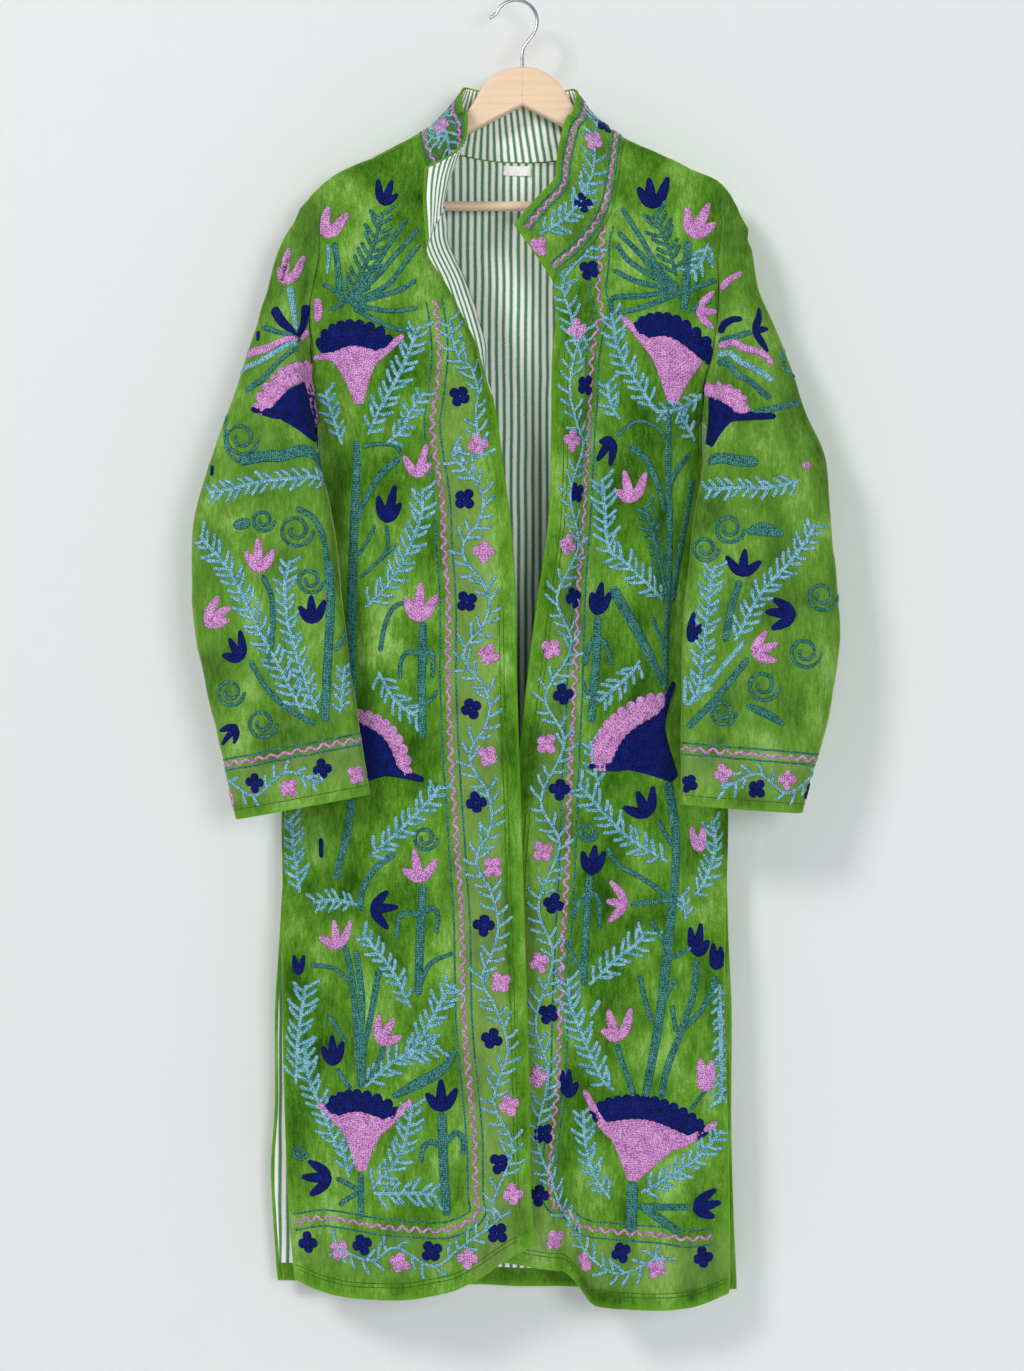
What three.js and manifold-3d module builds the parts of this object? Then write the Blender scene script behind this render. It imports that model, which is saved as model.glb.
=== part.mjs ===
// A long suzani jacket of lined velvet on a wooden coat hanger.
// Millimetres, +Z up, the jacket's front towards -Y, the viewer's right towards +X.
// The origin is the inner top of the hanger's hook, where a rail holds it.
// "right" and "left" in names are the wearer's, so right_front is at -X.
import * as THREE from "three";
import { mergeVertices } from "three/addons/utils/BufferGeometryUtils.js";
import Module from "manifold-3d";

// ---- Driving dimensions ----
const VELVET = 2; // thickness of the outer cloth
const LINING = 0.8; // thickness of the lining
const LAYER_GAP = 0.3; // between one layer of cloth and the next
const SEAM_GAP = 0.3; // between two pieces along their seam
const ROLL_RADIUS = 4; // inside radius where the right opening edge turns out
const FRONT_FULLNESS = 2.4; // exponent of the fronts' curve from the side forwards
const BACK_FULLNESS = 2.6; // exponent of the back's curve from side to side
const SLEEVE_ROUNDNESS = 0.85; // exponent of a sleeve section's swell
const NECK_DEPTH = 18; // how far the back neck lies behind the shoulder line
const NECK_DROP = 24.5; // how far the back neck seam dips below the shoulder line
const NECK_SHARE = 0.25; // share of the back's width that each shoulder takes
const COLLAR_BOW = 3; // how far the collar band bows out between its edges

// Rows run from the shoulder seam (0) to the underarm, the top of the side vent and the hem.
const UNDERARM = 10;
const VENT = 20;
const HEM = 27;
const SHOULDER_TURN = 0.35; // the row where the cloth turns down over the hanger
const LAPEL_TURN = 3.5; // the row where the right opening edge turns out
const ROWS = [0, SHOULDER_TURN];
for (let row = 1; row <= HEM; row++) {
  ROWS.push(row);
  if (row === Math.floor(LAPEL_TURN)) ROWS.push(LAPEL_TURN);
}

const STRIP_COLUMNS = 5; // columns across the right front's turned strip
const FRONT_COLUMNS = 12;
const BACK_COLUMNS = 20;
const COLLAR_ROWS = 4;
const SLEEVE_ROWS = 13;
// Each front and sleeve is two solids, so that the collision hulls of each can follow its curve.
const FRONT_SPLIT = 0.5; // across a front
const SLEEVE_SPLIT = 6; // row of a sleeve

// ---- Short tables: the first column places a row, cubics run through the others ----
function table(names, rows) {
  const column = {};
  names.split(" ").forEach((name, index) => (column[name] = index));
  return { column, rows };
}

// The smooth value of a table's column at a place between its rows.
function track(source, name, at) {
  const c = source.column[name];
  const rows = source.rows;
  const last = rows.length - 1;
  let i = 0;
  while (i < last - 1 && rows[i + 1][0] <= at) i++;
  const rise = (k) => (rows[k + 1][c] - rows[k][c]) / (rows[k + 1][0] - rows[k][0]);
  const slope = (k) => {
    if (k === 0) return rise(0);
    if (k === last) return rise(last - 1);
    const before = rows[k][0] - rows[k - 1][0];
    const after = rows[k + 1][0] - rows[k][0];
    return (rise(k - 1) * after + rise(k) * before) / (before + after);
  };
  const step = rows[i + 1][0] - rows[i][0];
  const t = (at - rows[i][0]) / step;
  const u = 1 - t;
  return (
    rows[i][c] * u * u * (1 + 2 * t) +
    rows[i + 1][c] * t * t * (3 - 2 * t) +
    slope(i) * step * t * u * u -
    slope(i + 1) * step * t * t * u
  );
}

// Armhole seams: depth is the distance of its front and back arcs from the hanger's plane.
const RIGHT_ARMHOLE = table("row x z depth", [
  [0, -196, -184, 0],
  [SHOULDER_TURN, -196, -187.5, 8.5],
  [1, -197, -205, 13],
  [2, -198, -232, 17],
  [3, -199, -262, 19],
  [4, -204, -290, 20],
  [5, -208, -314, 20],
  [6, -208, -340, 19],
  [7, -207, -365, 17],
  [8, -206, -388, 14],
  [9, -203, -410, 9],
  [UNDERARM, -201, -430, 0],
]);
const LEFT_ARMHOLE = table("row x z depth", [
  [0, 208, -183, 0],
  [SHOULDER_TURN, 208, -186.5, 8.5],
  [1, 207.5, -205, 13],
  [2, 208, -232, 17],
  [3, 204, -262, 19],
  [4, 204.5, -290, 20],
  [5, 204, -314, 20],
  [6, 201, -340, 19],
  [7, 197, -365, 17],
  [8, 191, -388, 14],
  [9, 189.5, -410, 9],
  [UNDERARM, 189, -430, 0],
]);

// Side seams, from the underarm to the top of the vent.
const RIGHT_SIDE = table("row x y z", [
  [UNDERARM, -201, 0, -430],
  [11, -201, 10.5, -478],
  [12, -206, 12.5, -526],
  [14, -215, 14, -621],
  [16, -227, 14, -716],
  [18, -238.5, 12, -810],
  [VENT, -238, 9, -904],
]);
const LEFT_SIDE = table("row x y z", [
  [UNDERARM, 189, 0, -430],
  [11, 191, 10.5, -478],
  [12, 195.5, 12.5, -526],
  [14, 202, 14, -621],
  [16, 208.5, 14, -716],
  [18, 216.5, 12, -810],
  [VENT, 215, 9, -908],
]);

// Side vents: the free edges of the front and of the back, down to the hem.
const RIGHT_VENT = table("row x_front y_front z_front x_back y_back z_back", [
  [VENT, -238, 9, -904, -238, 9, -904],
  [21, -237, -4, -960, -242, 16, -962],
  [22, -236.5, -7, -1016, -246, 19, -1020],
  [24, -234, -8.5, -1128, -247, 20, -1135],
  [25, -232, -9, -1184, -250.5, 20, -1190],
  [26, -229, -10, -1240, -248, 20, -1245],
  [HEM, -224, -10, -1296, -244, 20, -1305],
]);
const LEFT_VENT = table("row x_front y_front z_front x_back y_back z_back", [
  [VENT, 215, 9, -908, 215, 9, -908],
  [21, 212, -3, -962, 217, 13, -962],
  [22, 211, -6, -1020, 220, 16.5, -1020],
  [24, 214, -8, -1135, 220, 19, -1135],
  [26, 216, -10, -1250, 223, 20, -1250],
  [HEM, 216, -10, -1311, 226, 20, -1314],
]);

// Right front: the line where its strip starts to turn out, the strip's width and its turn.
const RIGHT_ROLL = table("row x y z strip turn", [
  [0, -115.3, 0, -141.9, 15, 0],
  [SHOULDER_TURN, -114.4, -9, -145.8, 15, 0],
  [1, -110.4, -14, -160.4, 14, 0],
  [2, -97.8, -21.5, -183.2, 12, 0],
  [3, -81.7, -31, -208.3, 8, 40],
  [4, -75, -37, -233, 17, 165],
  [5, -72, -38, -256, 31, 170],
  [6, -56, -39, -292, 27, 170],
  [7, -44, -39, -328, 21, 170],
  [8, -36, -39, -362, 16, 150],
  [9, -38, -40, -400, 18, 62],
  [10, -45, -41, -437, 27, 6],
  [11, -44, -41, -484, 32, 0],
  [12, -39, -42, -531, 33, 0],
  [16, -33, -43, -718, 34, 0],
  [VENT, -27, -44.5, -905, 34, 0],
  [24, -21, -46.5, -1108, 34, 0],
  [26, -19, -48, -1209, 34, 0],
  [HEM, -14, -48, -1260, 33, 0],
]);

// Left front: neck seam down to the collar's end at row 6, then the opening edge.
const LEFT_OPENING = table("row x y z", [
  [0, 111, 0, -138],
  [SHOULDER_TURN, 110, -9, -142],
  [1, 107, -14, -160],
  [2, 103, -21, -188],
  [3, 97, -27, -216],
  [4, 85, -32, -241],
  [5, 64, -37, -266],
  [6, 38, -40, -291],
  [7, 41, -37, -326],
  [8, 37, -37, -362],
  [9, 36, -37, -399],
  [10, 36, -36, -436],
  [12, 33, -36, -530],
  [14, 20, -36, -624],
  [16, 8.5, -34.5, -718],
  [18, -1, -32, -812],
  [VENT, -8, -31, -906],
  [22, -13.5, -31, -1007],
  [24, -19, -31, -1109],
  [26, -24, -32, -1212],
  [HEM, -26, -32, -1272],
]);
const RIGHT_COLLAR_END = 5;
const LEFT_COLLAR_END = 6;

// How far behind the shoulder line the middle of the back hangs.
const BACK_MIDDLE = table("row y", [
  [0, 14],
  [1, 18],
  [3, 23],
  [6, 27],
  [UNDERARM, 29],
  [VENT, 31],
  [HEM, 32],
]);

// Hem lines dip away from the opening edge, between these distances from it.
const RIGHT_HEM = { from: 0, to: 86, dip: 32 };
const LEFT_HEM = { from: 70, to: 105, dip: 28 };
const BACK_HEM_DIP = 4;

// Folds: from top to bottom along a line in x, with a width on either side of it.
// A positive depth is a trough, a negative one a ridge that stands forward.
const RIGHT_FRONT_FOLDS = table("top bottom x_top x_bottom left right depth", [
  [-780, -1010, -156, -158, 12, 22, -7],
  [-820, -1040, -200, -196, 16, 16, 6],
  [-1130, -1330, -60, -40, 14, 14, 4],
  [-1150, -1330, -20, -10, 14, 12, -4],
  [-215, -330, -150, -120, 14, 18, 4],
  [-1000, -1400, -110, -104, 20, 24, -5],
]);
const LEFT_FRONT_FOLDS = table("top bottom x_top x_bottom left right depth", [
  [-290, -690, 92, 60, 15, 34, 18],
  [-440, -760, 148, 168, 16, 18, 5],
  [-1050, -1500, 46, 60, 9, 14, 12],
  [-1050, -1500, 78, 92, 16, 30, -9],
  [-760, -1080, 120, 110, 18, 22, 5],
]);
const BACK_FOLDS = table("top bottom x_top x_bottom left right depth", [
  [-420, -1360, -120, -140, 22, 26, -6],
  [-520, -1480, 70, 84, 24, 24, 6],
  [-800, -1500, -30, -34, 22, 20, -5],
  [-560, -1340, 146, 158, 20, 20, -5],
]);

// Collar band: its free edge. Places below 0 count rows down the right front, 0 to 1 cross
// the back neck, and places over 1 count rows down the left front.
const COLLAR_EDGE = table("place x y z", [
  [-5, -90, -62, -183],
  [-4.5, -76, -62, -176],
  [-4, -64, -60, -169],
  [-3, -52, -48, -153],
  [-2, -49, -35, -134],
  [-1, -50, -22, -114],
  [0, -56, -10, -97],
  [0.06, -56, 2, -86],
  [0.16, -49, 10, -86],
  [0.3, -33, 15, -88],
  [0.5, -4, 16, -89],
  [0.75, 45, 14, -89],
  [0.92, 64, 4, -88],
  [1, 62, -8, -100],
  [2, 52, -20, -120],
  [3, 46, -29, -143],
  [4, 41, -37, -169],
  [5, 40, -45, -189],
  [6, 21, -52, -210],
  [7, -1, -54, -237],
]);

// Sleeves: the outer and inner edges of each section, and its swell to the front and back.
const RIGHT_SLEEVE = table("row x_out y_out z_out x_in y_in z_in front back", [
  [1, -219, -4, -210, -208, -12, -441, 18, 18],
  [2, -235, -6, -244, -205, -25, -461, 21, 20],
  [3, -249, -8, -293, -196, -34, -487, 24, 20],
  [4, -268, -12, -349, -186, -40, -518, 24, 20],
  [5, -291, -16, -422, -180, -43, -555, 24, 20],
  [6, -312, -20, -491, -175, -46, -600, 23, 20],
  [7, -325, -23, -539, -170, -48, -638, 23, 19],
  [8, -325, -25, -599, -166, -49, -678, 22, 19],
  [9, -319, -27, -652, -161, -50, -708, 22, 18],
  [10, -309, -28, -704, -157, -51, -737, 21, 18],
  [11, -298, -29, -747, -153, -52, -762, 20, 17],
  [12, -289, -30, -785, -149, -52, -785, 20, 17],
  [13, -280, -30, -829, -146, -52, -803, 20, 16],
]);
const LEFT_SLEEVE = table("row x_out y_out z_out x_in y_in z_in front back", [
  [1, 225, -4, -210, 196, -12, -441, 18, 18],
  [2, 237, -6, -247, 193, -25, -461, 21, 20],
  [3, 248, -8, -297, 186, -34, -487, 24, 20],
  [4, 264, -11, -336, 179, -40, -515, 24, 20],
  [5, 281, -14, -380, 174, -43, -550, 24, 20],
  [6, 293, -16, -419, 171, -46, -582, 23, 20],
  [7, 313, -18, -465, 167, -48, -615, 23, 19],
  [8, 317, -20, -514, 166, -49, -650, 22, 19],
  [9, 320, -22, -574, 165, -50, -682, 22, 18],
  [10, 326, -24, -648, 165, -51, -715, 21, 18],
  [11, 314, -26, -716, 164, -52, -745, 20, 17],
  [12, 301, -27, -770, 164, -52, -781, 20, 17],
  [13, 287, -28, -823, 163, -52, -813, 20, 16],
]);

const RIGHT = { armhole: RIGHT_ARMHOLE, side: RIGHT_SIDE, vent: RIGHT_VENT, sleeve: RIGHT_SLEEVE };
const LEFT = { armhole: LEFT_ARMHOLE, side: LEFT_SIDE, vent: LEFT_VENT, sleeve: LEFT_SLEEVE };

// Hanger
const HANGER_X = 6.5; // the yoke's middle, to the side of the hook's arc
const HANGER_THICKNESS = 13;
const HANGER_BEVEL = 4;
const ARCH_RADIUS = 50; // the yoke's rounded top
const ARCH_TOP = -66.8;
const BAR_RADIUS = 4.85;
const BAR_Z = -208;
const BAR_HALF = 183;
const BAR_SIDES = 20;
const SOCKET_SLACK = 0.3;
const WIRE_RADIUS = 1.75;
const WIRE_SIDES = 10;
const HOOK_RADIUS = 21.75; // of the wire's middle line
const HOOK_STEM_END = -86;
// Half of the yoke's outline beyond its arch, as distances from its middle.
const YOKE_TOP = [
  [43, -91.3],
  [54, -109],
  [76, -130],
  [90, -142],
  [106, -152],
  [153, -166.2],
  [181, -178.6],
  [196, -185.5],
  [201, -192],
];
const YOKE_BOTTOM = [
  [204, -204],
  [198, -215],
  [187, -219],
  [177, -215],
  [168, -194.5],
  [106, -163],
  [54, -134],
];
const YOKE_NOTCH_TOP = -106;

// Label, in the back's rows and columns
const LABEL = { top: 0.37, bottom: 0.7, from: 9.2, to: 10.5, thickness: 0.6, gap: 0.4 };

// ---- Surfaces ----
const lerp = (a, b, t) => a + (b - a) * t;
const clamp01 = (t) => Math.min(1, Math.max(0, t));
const smooth = (t) => {
  const c = clamp01(t);
  return c * c * (3 - 2 * c);
};
const vector = (x, y, z) => new THREE.Vector3(x, y, z);

function foldDepth(folds, x, z) {
  let depth = 0;
  for (let i = 0; i < folds.rows.length; i++) {
    const [top, bottom, xTop, xBottom, left, right, deep] = folds.rows[i];
    const t = (top - z) / (top - bottom);
    if (t <= 0 || t >= 1) continue;
    const away = x - lerp(xTop, xBottom, t);
    const width = away < 0 ? left : right;
    depth += deep * Math.sin(Math.PI * t) ** 0.7 * Math.exp(-((away / width) ** 2));
  }
  return depth;
}

// The outer edge of a panel: armhole, side seam, then vent. face is "front" or "back".
function panelEdge(side, row, face) {
  if (row <= UNDERARM) {
    const depth = track(side.armhole, "depth", row);
    const x = track(side.armhole, "x", row);
    return vector(x, face === "front" ? -depth : depth, track(side.armhole, "z", row));
  }
  if (row <= VENT) {
    return vector(...["x", "y", "z"].map((axis) => track(side.side, axis, row)));
  }
  return vector(...["x_", "y_", "z_"].map((axis) => track(side.vent, axis + face, row)));
}

// How far the hem's dip lowers a front at a distance from its opening edge.
function hemDip(hem, distance, width, row) {
  if (row <= VENT) return 0;
  const low = ((row - VENT) / (HEM - VENT)) ** 2;
  const share =
    distance < hem.to
      ? smooth((distance - hem.from) / (hem.to - hem.from))
      : 1 - ((distance - hem.to) / (width - hem.to)) ** 3;
  return hem.dip * low * share;
}

// A front between its inner line (across = 0) and its outer edge (across = 1).
function frontSpan(inner, outer, across, folds) {
  const x = lerp(inner.x, outer.x, across);
  const z = lerp(inner.z, outer.z, across);
  const y = lerp(inner.y, outer.y, across ** FRONT_FULLNESS);
  const fade = smooth(across * 8) * smooth((1 - across) * 8);
  return vector(x, y + foldDepth(folds, x, z) * fade, z);
}

// The right front. across runs from -1 at the free edge, by 0 at the roll, to 1 at the side.
function rightFront(row, across) {
  const roll = vector(...["x", "y", "z"].map((axis) => track(RIGHT_ROLL, axis, row)));
  const outer = panelEdge(RIGHT, row, "front");
  const strip = track(RIGHT_ROLL, "strip", row);
  const width = strip + Math.abs(outer.x - roll.x);
  if (across >= 0) {
    const point = frontSpan(roll, outer, across, RIGHT_FRONT_FOLDS);
    point.z -= hemDip(RIGHT_HEM, strip + across * (width - strip), width, row);
    return point;
  }
  const turn = Math.max(0, THREE.MathUtils.degToRad(track(RIGHT_ROLL, "turn", row)));
  const distance = -across * strip;
  const along = roll.clone().sub(frontSpan(roll, outer, 0.02, RIGHT_FRONT_FOLDS)).normalize();
  const forward = vector(along.y, -along.x, 0).normalize();
  const angle = Math.min(distance / ROLL_RADIUS, turn);
  const rest = Math.max(0, distance - ROLL_RADIUS * turn);
  const point = roll
    .clone()
    .addScaledVector(along, ROLL_RADIUS * Math.sin(angle) + rest * Math.cos(turn))
    .addScaledVector(forward, ROLL_RADIUS * (1 - Math.cos(angle)) + rest * Math.sin(turn));
  point.z -= hemDip(RIGHT_HEM, strip - distance, width, row);
  return point;
}

// The left front, from its opening edge (0) to its side (1).
function leftFront(row, across) {
  const edge = vector(...["x", "y", "z"].map((axis) => track(LEFT_OPENING, axis, row)));
  const outer = panelEdge(LEFT, row, "front");
  const width = Math.abs(outer.x - edge.x);
  const point = frontSpan(edge, outer, across, LEFT_FRONT_FOLDS);
  point.z -= hemDip(LEFT_HEM, across * width, width, row);
  return point;
}

// The shoulder and neck line that the back starts from.
function backTop(across) {
  const rightTip = panelEdge(RIGHT, 0, "back");
  const leftTip = panelEdge(LEFT, 0, "back");
  const rightNeck = rightFront(0, -1);
  const leftNeck = leftFront(0, 0);
  if (across < NECK_SHARE) return rightTip.lerp(rightNeck, across / NECK_SHARE);
  if (across > 1 - NECK_SHARE) return leftTip.lerp(leftNeck, (1 - across) / NECK_SHARE);
  const along = (across - NECK_SHARE) / (1 - 2 * NECK_SHARE);
  const out = Math.abs(2 * along - 1);
  const point = rightNeck.lerp(leftNeck, along);
  return vector(point.x, NECK_DEPTH * (1 - out ** 9), point.z - NECK_DROP * (1 - out ** 2.2));
}

// The back, from the wearer's right side (0) to the left one (1).
function back(row, across) {
  const right = panelEdge(RIGHT, row, "back");
  const left = panelEdge(LEFT, row, "back");
  const top = backTop(across);
  const tips = panelEdge(RIGHT, 0, "back").lerp(panelEdge(LEFT, 0, "back"), across);
  const near = Math.max(0, 1 - row / UNDERARM);
  const x = lerp(right.x, left.x, across) + (top.x - tips.x) * near;
  const low = clamp01((row - VENT) / (HEM - VENT)) ** 2;
  const dip = BACK_HEM_DIP * low * Math.sin(Math.PI * across);
  const z = lerp(right.z, left.z, across) + (top.z - tips.z) * near - dip;
  const edgeY = lerp(right.y, left.y, across);
  const full = 1 - Math.abs(2 * across - 1) ** BACK_FULLNESS;
  const below = 1 - (1 - Math.min(1, row)) ** 2.2;
  const y =
    edgeY +
    (track(BACK_MIDDLE, "y", row) - edgeY) * full * below +
    top.y * (1 - below) -
    foldDepth(BACK_FOLDS, x, z) * smooth(across * 8) * smooth((1 - across) * 8);
  return vector(x, y, z);
}

// A sleeve. around runs from 0 at the underarm, over the front to 1 at the shoulder, and back
// down behind to 2.
function sleeve(side, row, around) {
  const behind = around > 1;
  const up = behind ? 2 - around : around;
  if (row === 0) return panelEdge(side, UNDERARM * (1 - up), behind ? "back" : "front");
  const edge = (name, at) =>
    vector(...["x_", "y_", "z_"].map((axis) => track(side.sleeve, axis + name, at)));
  const outer = edge("out", row);
  const inner = edge("in", row);
  const chord = outer.clone().sub(inner);
  const swell = vector(0, -1, 0).projectOnPlane(chord.clone().normalize()).normalize();
  const depth = behind ? -track(side.sleeve, "back", row) : track(side.sleeve, "front", row);
  return inner
    .addScaledVector(chord, (1 - Math.cos(Math.PI * up)) / 2)
    .addScaledVector(swell, depth * Math.sin(Math.PI * up) ** SLEEVE_ROUNDNESS);
}

// The neck seam at a place along the collar, as in COLLAR_EDGE.
function neckSeam(place) {
  if (place <= 0) return rightFront(-place, -1);
  if (place < 1) return backTop(NECK_SHARE + place * (1 - 2 * NECK_SHARE));
  return leftFront(place - 1, 0);
}

// The collar band, from its seam (0) to its free edge (1). It bows away from the neck.
function collarBand(place, up) {
  const seam = neckSeam(place);
  const edge = vector(...["x", "y", "z"].map((axis) => track(COLLAR_EDGE, axis, place)));
  const ahead = neckSeam(Math.min(1 + LEFT_COLLAR_END, place + 0.05));
  const behind = neckSeam(Math.max(-RIGHT_COLLAR_END, place - 0.05));
  const out = ahead.sub(behind).cross(edge.clone().sub(seam)).normalize();
  const bow = COLLAR_BOW * Math.sin(Math.PI * up);
  return seam.lerp(edge, up).addScaledVector(out, -bow);
}

// ---- Walls of cloth ----
const SAME_PLACE = 0.02; // points closer than this are one point of a seam
const surfaces = [];

// A grid of points and of their outward directions. closed joins the last column to the first.
function sampled(rowPlaces, columnPlaces, at, { closed = false, outward }) {
  const points = rowPlaces.map((row) => columnPlaces.map((column) => at(row, column)));
  const rowCount = points.length;
  const columnCount = points[0].length;
  const columnAt = (j) =>
    closed ? (j + columnCount) % columnCount : Math.min(columnCount - 1, Math.max(0, j));
  const directions = points.map((line, i) =>
    line.map((_, j) => {
      const across = line[columnAt(j + 1)].clone().sub(line[columnAt(j - 1)]);
      const down = points[Math.min(rowCount - 1, i + 1)][j]
        .clone()
        .sub(points[Math.max(0, i - 1)][j]);
      return down.cross(across).multiplyScalar(outward).normalize();
    }),
  );
  const surface = { points, directions, closed, outward };
  surfaces.push(surface);
  return surface;
}

// The upward direction square to a shoulder line, from its tip to the neck.
function ridgeDirection(tip, neck) {
  const rise = neck.clone().sub(tip);
  return vector(rise.z, 0, -rise.x).multiplyScalar(rise.x > 0 ? -1 : 1).normalize();
}

// Along the shoulder seams the front and the back both stand square to the ridge.
function squareShoulders() {
  const right = ridgeDirection(panelEdge(RIGHT, 0, "back"), rightFront(0, -1));
  const left = ridgeDirection(panelEdge(LEFT, 0, "back"), leftFront(0, 0));
  for (const surface of [rightFrontSurface, rightFrontSideSurface])
    surface.directions[0].forEach((direction) => direction.copy(right));
  for (const surface of [leftFrontSurface, leftFrontSideSurface])
    surface.directions[0].forEach((direction) => direction.copy(left));
  const shoulder = BACK_COLUMNS * NECK_SHARE;
  backSurface.directions[0].forEach((direction, j) => {
    if (j <= shoulder) direction.copy(right);
    if (j >= BACK_COLUMNS - shoulder) direction.copy(left);
  });
}

// Pieces that share a point of a seam get one direction there, so that their rims stay parallel.
// At a point in the hanger's plane that direction stays in the plane.
function shareSeamDirections() {
  const key = (p) => p.toArray().map((value) => Math.round(value / SAME_PLACE)).join();
  const sums = new Map();
  for (const { points, directions } of surfaces)
    points.forEach((line, i) =>
      line.forEach((point, j) => {
        const entry = sums.get(key(point)) ?? { point, sum: vector(0, 0, 0), own: [] };
        entry.sum.add(directions[i][j]);
        entry.own.push(directions[i][j].clone());
        sums.set(key(point), entry);
      }),
    );
  for (const entry of sums.values()) {
    if (Math.abs(entry.point.y) < SAME_PLACE) entry.sum.y = 0;
    entry.sum.normalize();
    const cosines = entry.own.map((direction) => direction.dot(entry.sum));
    const mean = cosines.reduce((a, b) => a + b) / cosines.length;
    entry.sum.divideScalar(Math.max(0.6, mean));
  }
  for (const { points, directions } of surfaces)
    points.forEach((line, i) =>
      line.forEach((point, j) => directions[i][j].copy(sums.get(key(point)).sum)),
    );
}

// Moves a surface's open edges back from the seam line by half the seam gap.
function trimToSeams(surface) {
  const { points, closed } = surface;
  const last = points.length - 1;
  const columns = points[0].length - 1;
  const shifts = points.map((line) => line.map(() => vector(0, 0, 0)));
  const pull = (i, j, k, l) => {
    const step = points[k][l].clone().sub(points[i][j]).normalize();
    shifts[i][j].addScaledVector(step, SEAM_GAP / 2);
  };
  for (let j = 0; j <= columns; j++) {
    pull(0, j, 1, j);
    pull(last, j, last - 1, j);
  }
  if (!closed)
    for (let i = 0; i <= last; i++) {
      pull(i, 0, i, 1);
      pull(i, columns, i, columns - 1);
    }
  points.forEach((line, i) => line.forEach((point, j) => point.add(shifts[i][j])));
}

// A closed wall between two depths below a surface, over all of it or over a part of its grid.
function wall(surface, near, far, part = {}) {
  const { points, directions, closed, outward } = surface;
  const firstRow = part.firstRow ?? 0;
  const lastRow = part.lastRow ?? points.length - 1;
  const lastColumn = part.lastColumn ?? points[0].length - 1;
  const width = lastColumn + 1;
  const height = lastRow - firstRow + 1;
  const positions = [];
  for (const depth of [near, far])
    for (let i = firstRow; i <= lastRow; i++)
      for (let j = 0; j <= lastColumn; j++)
        positions.push(...points[i][j].clone().addScaledVector(directions[i][j], -depth).toArray());
  const index = [];
  const face = (a, b, c, d) => {
    if (outward > 0) index.push(a, b, c, a, c, d);
    else index.push(a, c, b, a, d, c);
  };
  const at = (layer, i, j) => layer * width * height + i * width + (j % width);
  const spans = closed ? width : width - 1;
  for (let i = 0; i < height - 1; i++)
    for (let j = 0; j < spans; j++) {
      face(at(0, i, j), at(0, i + 1, j), at(0, i + 1, j + 1), at(0, i, j + 1));
      face(at(1, i, j), at(1, i, j + 1), at(1, i + 1, j + 1), at(1, i + 1, j));
    }
  // A rim splits each of its faces from the higher outer corner to the lower inner one, so that
  // the rims of two pieces match along their seam.
  const heightOf = (k) => positions[3 * k + 2] + positions[3 * k] / 1000;
  const rim = (i, j, k, l) => {
    const [a, b, c, d] = [at(0, i, j), at(0, k, l), at(1, k, l), at(1, i, j)];
    if (heightOf(a) > heightOf(b)) face(a, b, c, d);
    else face(b, c, d, a);
  };
  const low = height - 1;
  const end = width - 1;
  for (let j = 0; j < spans; j++) {
    rim(0, j, 0, j + 1);
    rim(low, j + 1, low, j);
  }
  if (!closed)
    for (let i = 0; i < low; i++) {
      rim(i + 1, 0, i, 0);
      rim(i, end, i + 1, end);
    }
  const geometry = new THREE.BufferGeometry();
  geometry.setAttribute("position", new THREE.Float32BufferAttribute(positions, 3));
  geometry.setIndex(index);
  geometry.computeVertexNormals();
  return geometry;
}

// Even places from first to last.
const spaced = (first, last, count) =>
  Array.from({ length: count + 1 }, (_, i) => lerp(first, last, i / count));

const stripPlaces = spaced(-1, 0, STRIP_COLUMNS);
const halfFront = FRONT_COLUMNS / 2;
const rightFrontSurface = sampled(
  ROWS,
  [...stripPlaces, ...spaced(0, FRONT_SPLIT, halfFront).slice(1)],
  rightFront,
  { outward: -1 },
);
const rightFrontSideSurface = sampled(ROWS, spaced(FRONT_SPLIT, 1, halfFront), rightFront, {
  outward: -1,
});
const leftFrontSurface = sampled(ROWS, spaced(0, FRONT_SPLIT, halfFront + 1), leftFront, {
  outward: 1,
});
const leftFrontSideSurface = sampled(ROWS, spaced(FRONT_SPLIT, 1, halfFront + 1), leftFront, {
  outward: 1,
});
const backSurface = sampled(ROWS, spaced(0, 1, BACK_COLUMNS), back, { outward: -1 });

const armholeRows = ROWS.filter((row) => row <= UNDERARM);
const aroundPlaces = [
  ...armholeRows.map((row) => 1 - row / UNDERARM).reverse(),
  ...armholeRows.slice(1, -1).map((row) => 1 + row / UNDERARM),
];
const upperSleeveRows = spaced(0, SLEEVE_SPLIT, SLEEVE_SPLIT);
const lowerSleeveRows = spaced(SLEEVE_SPLIT, SLEEVE_ROWS, SLEEVE_ROWS - SLEEVE_SPLIT);
const sleeveSurface = (side, rows, outward) =>
  sampled(rows, aroundPlaces, (row, around) => sleeve(side, row, around), {
    closed: true,
    outward,
  });
const rightSleeveSurface = sleeveSurface(RIGHT, upperSleeveRows, -1);
const rightSleeveLowerSurface = sleeveSurface(RIGHT, lowerSleeveRows, -1);
const leftSleeveSurface = sleeveSurface(LEFT, upperSleeveRows, 1);
const leftSleeveLowerSurface = sleeveSurface(LEFT, lowerSleeveRows, 1);

const neckColumns = spaced(0, 1, BACK_COLUMNS * (1 - 2 * NECK_SHARE));
const collarPlaces = [
  ...ROWS.filter((row) => row <= RIGHT_COLLAR_END).map((row) => -row).reverse(),
  ...neckColumns.slice(1, -1),
  ...ROWS.filter((row) => row <= LEFT_COLLAR_END).map((row) => 1 + row),
];
const collarSurface = sampled(
  spaced(0, 1, COLLAR_ROWS),
  collarPlaces,
  (up, place) => collarBand(place, up),
  { outward: 1 },
);

squareShoulders();
shareSeamDirections();
surfaces.forEach(trimToSeams);

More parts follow.
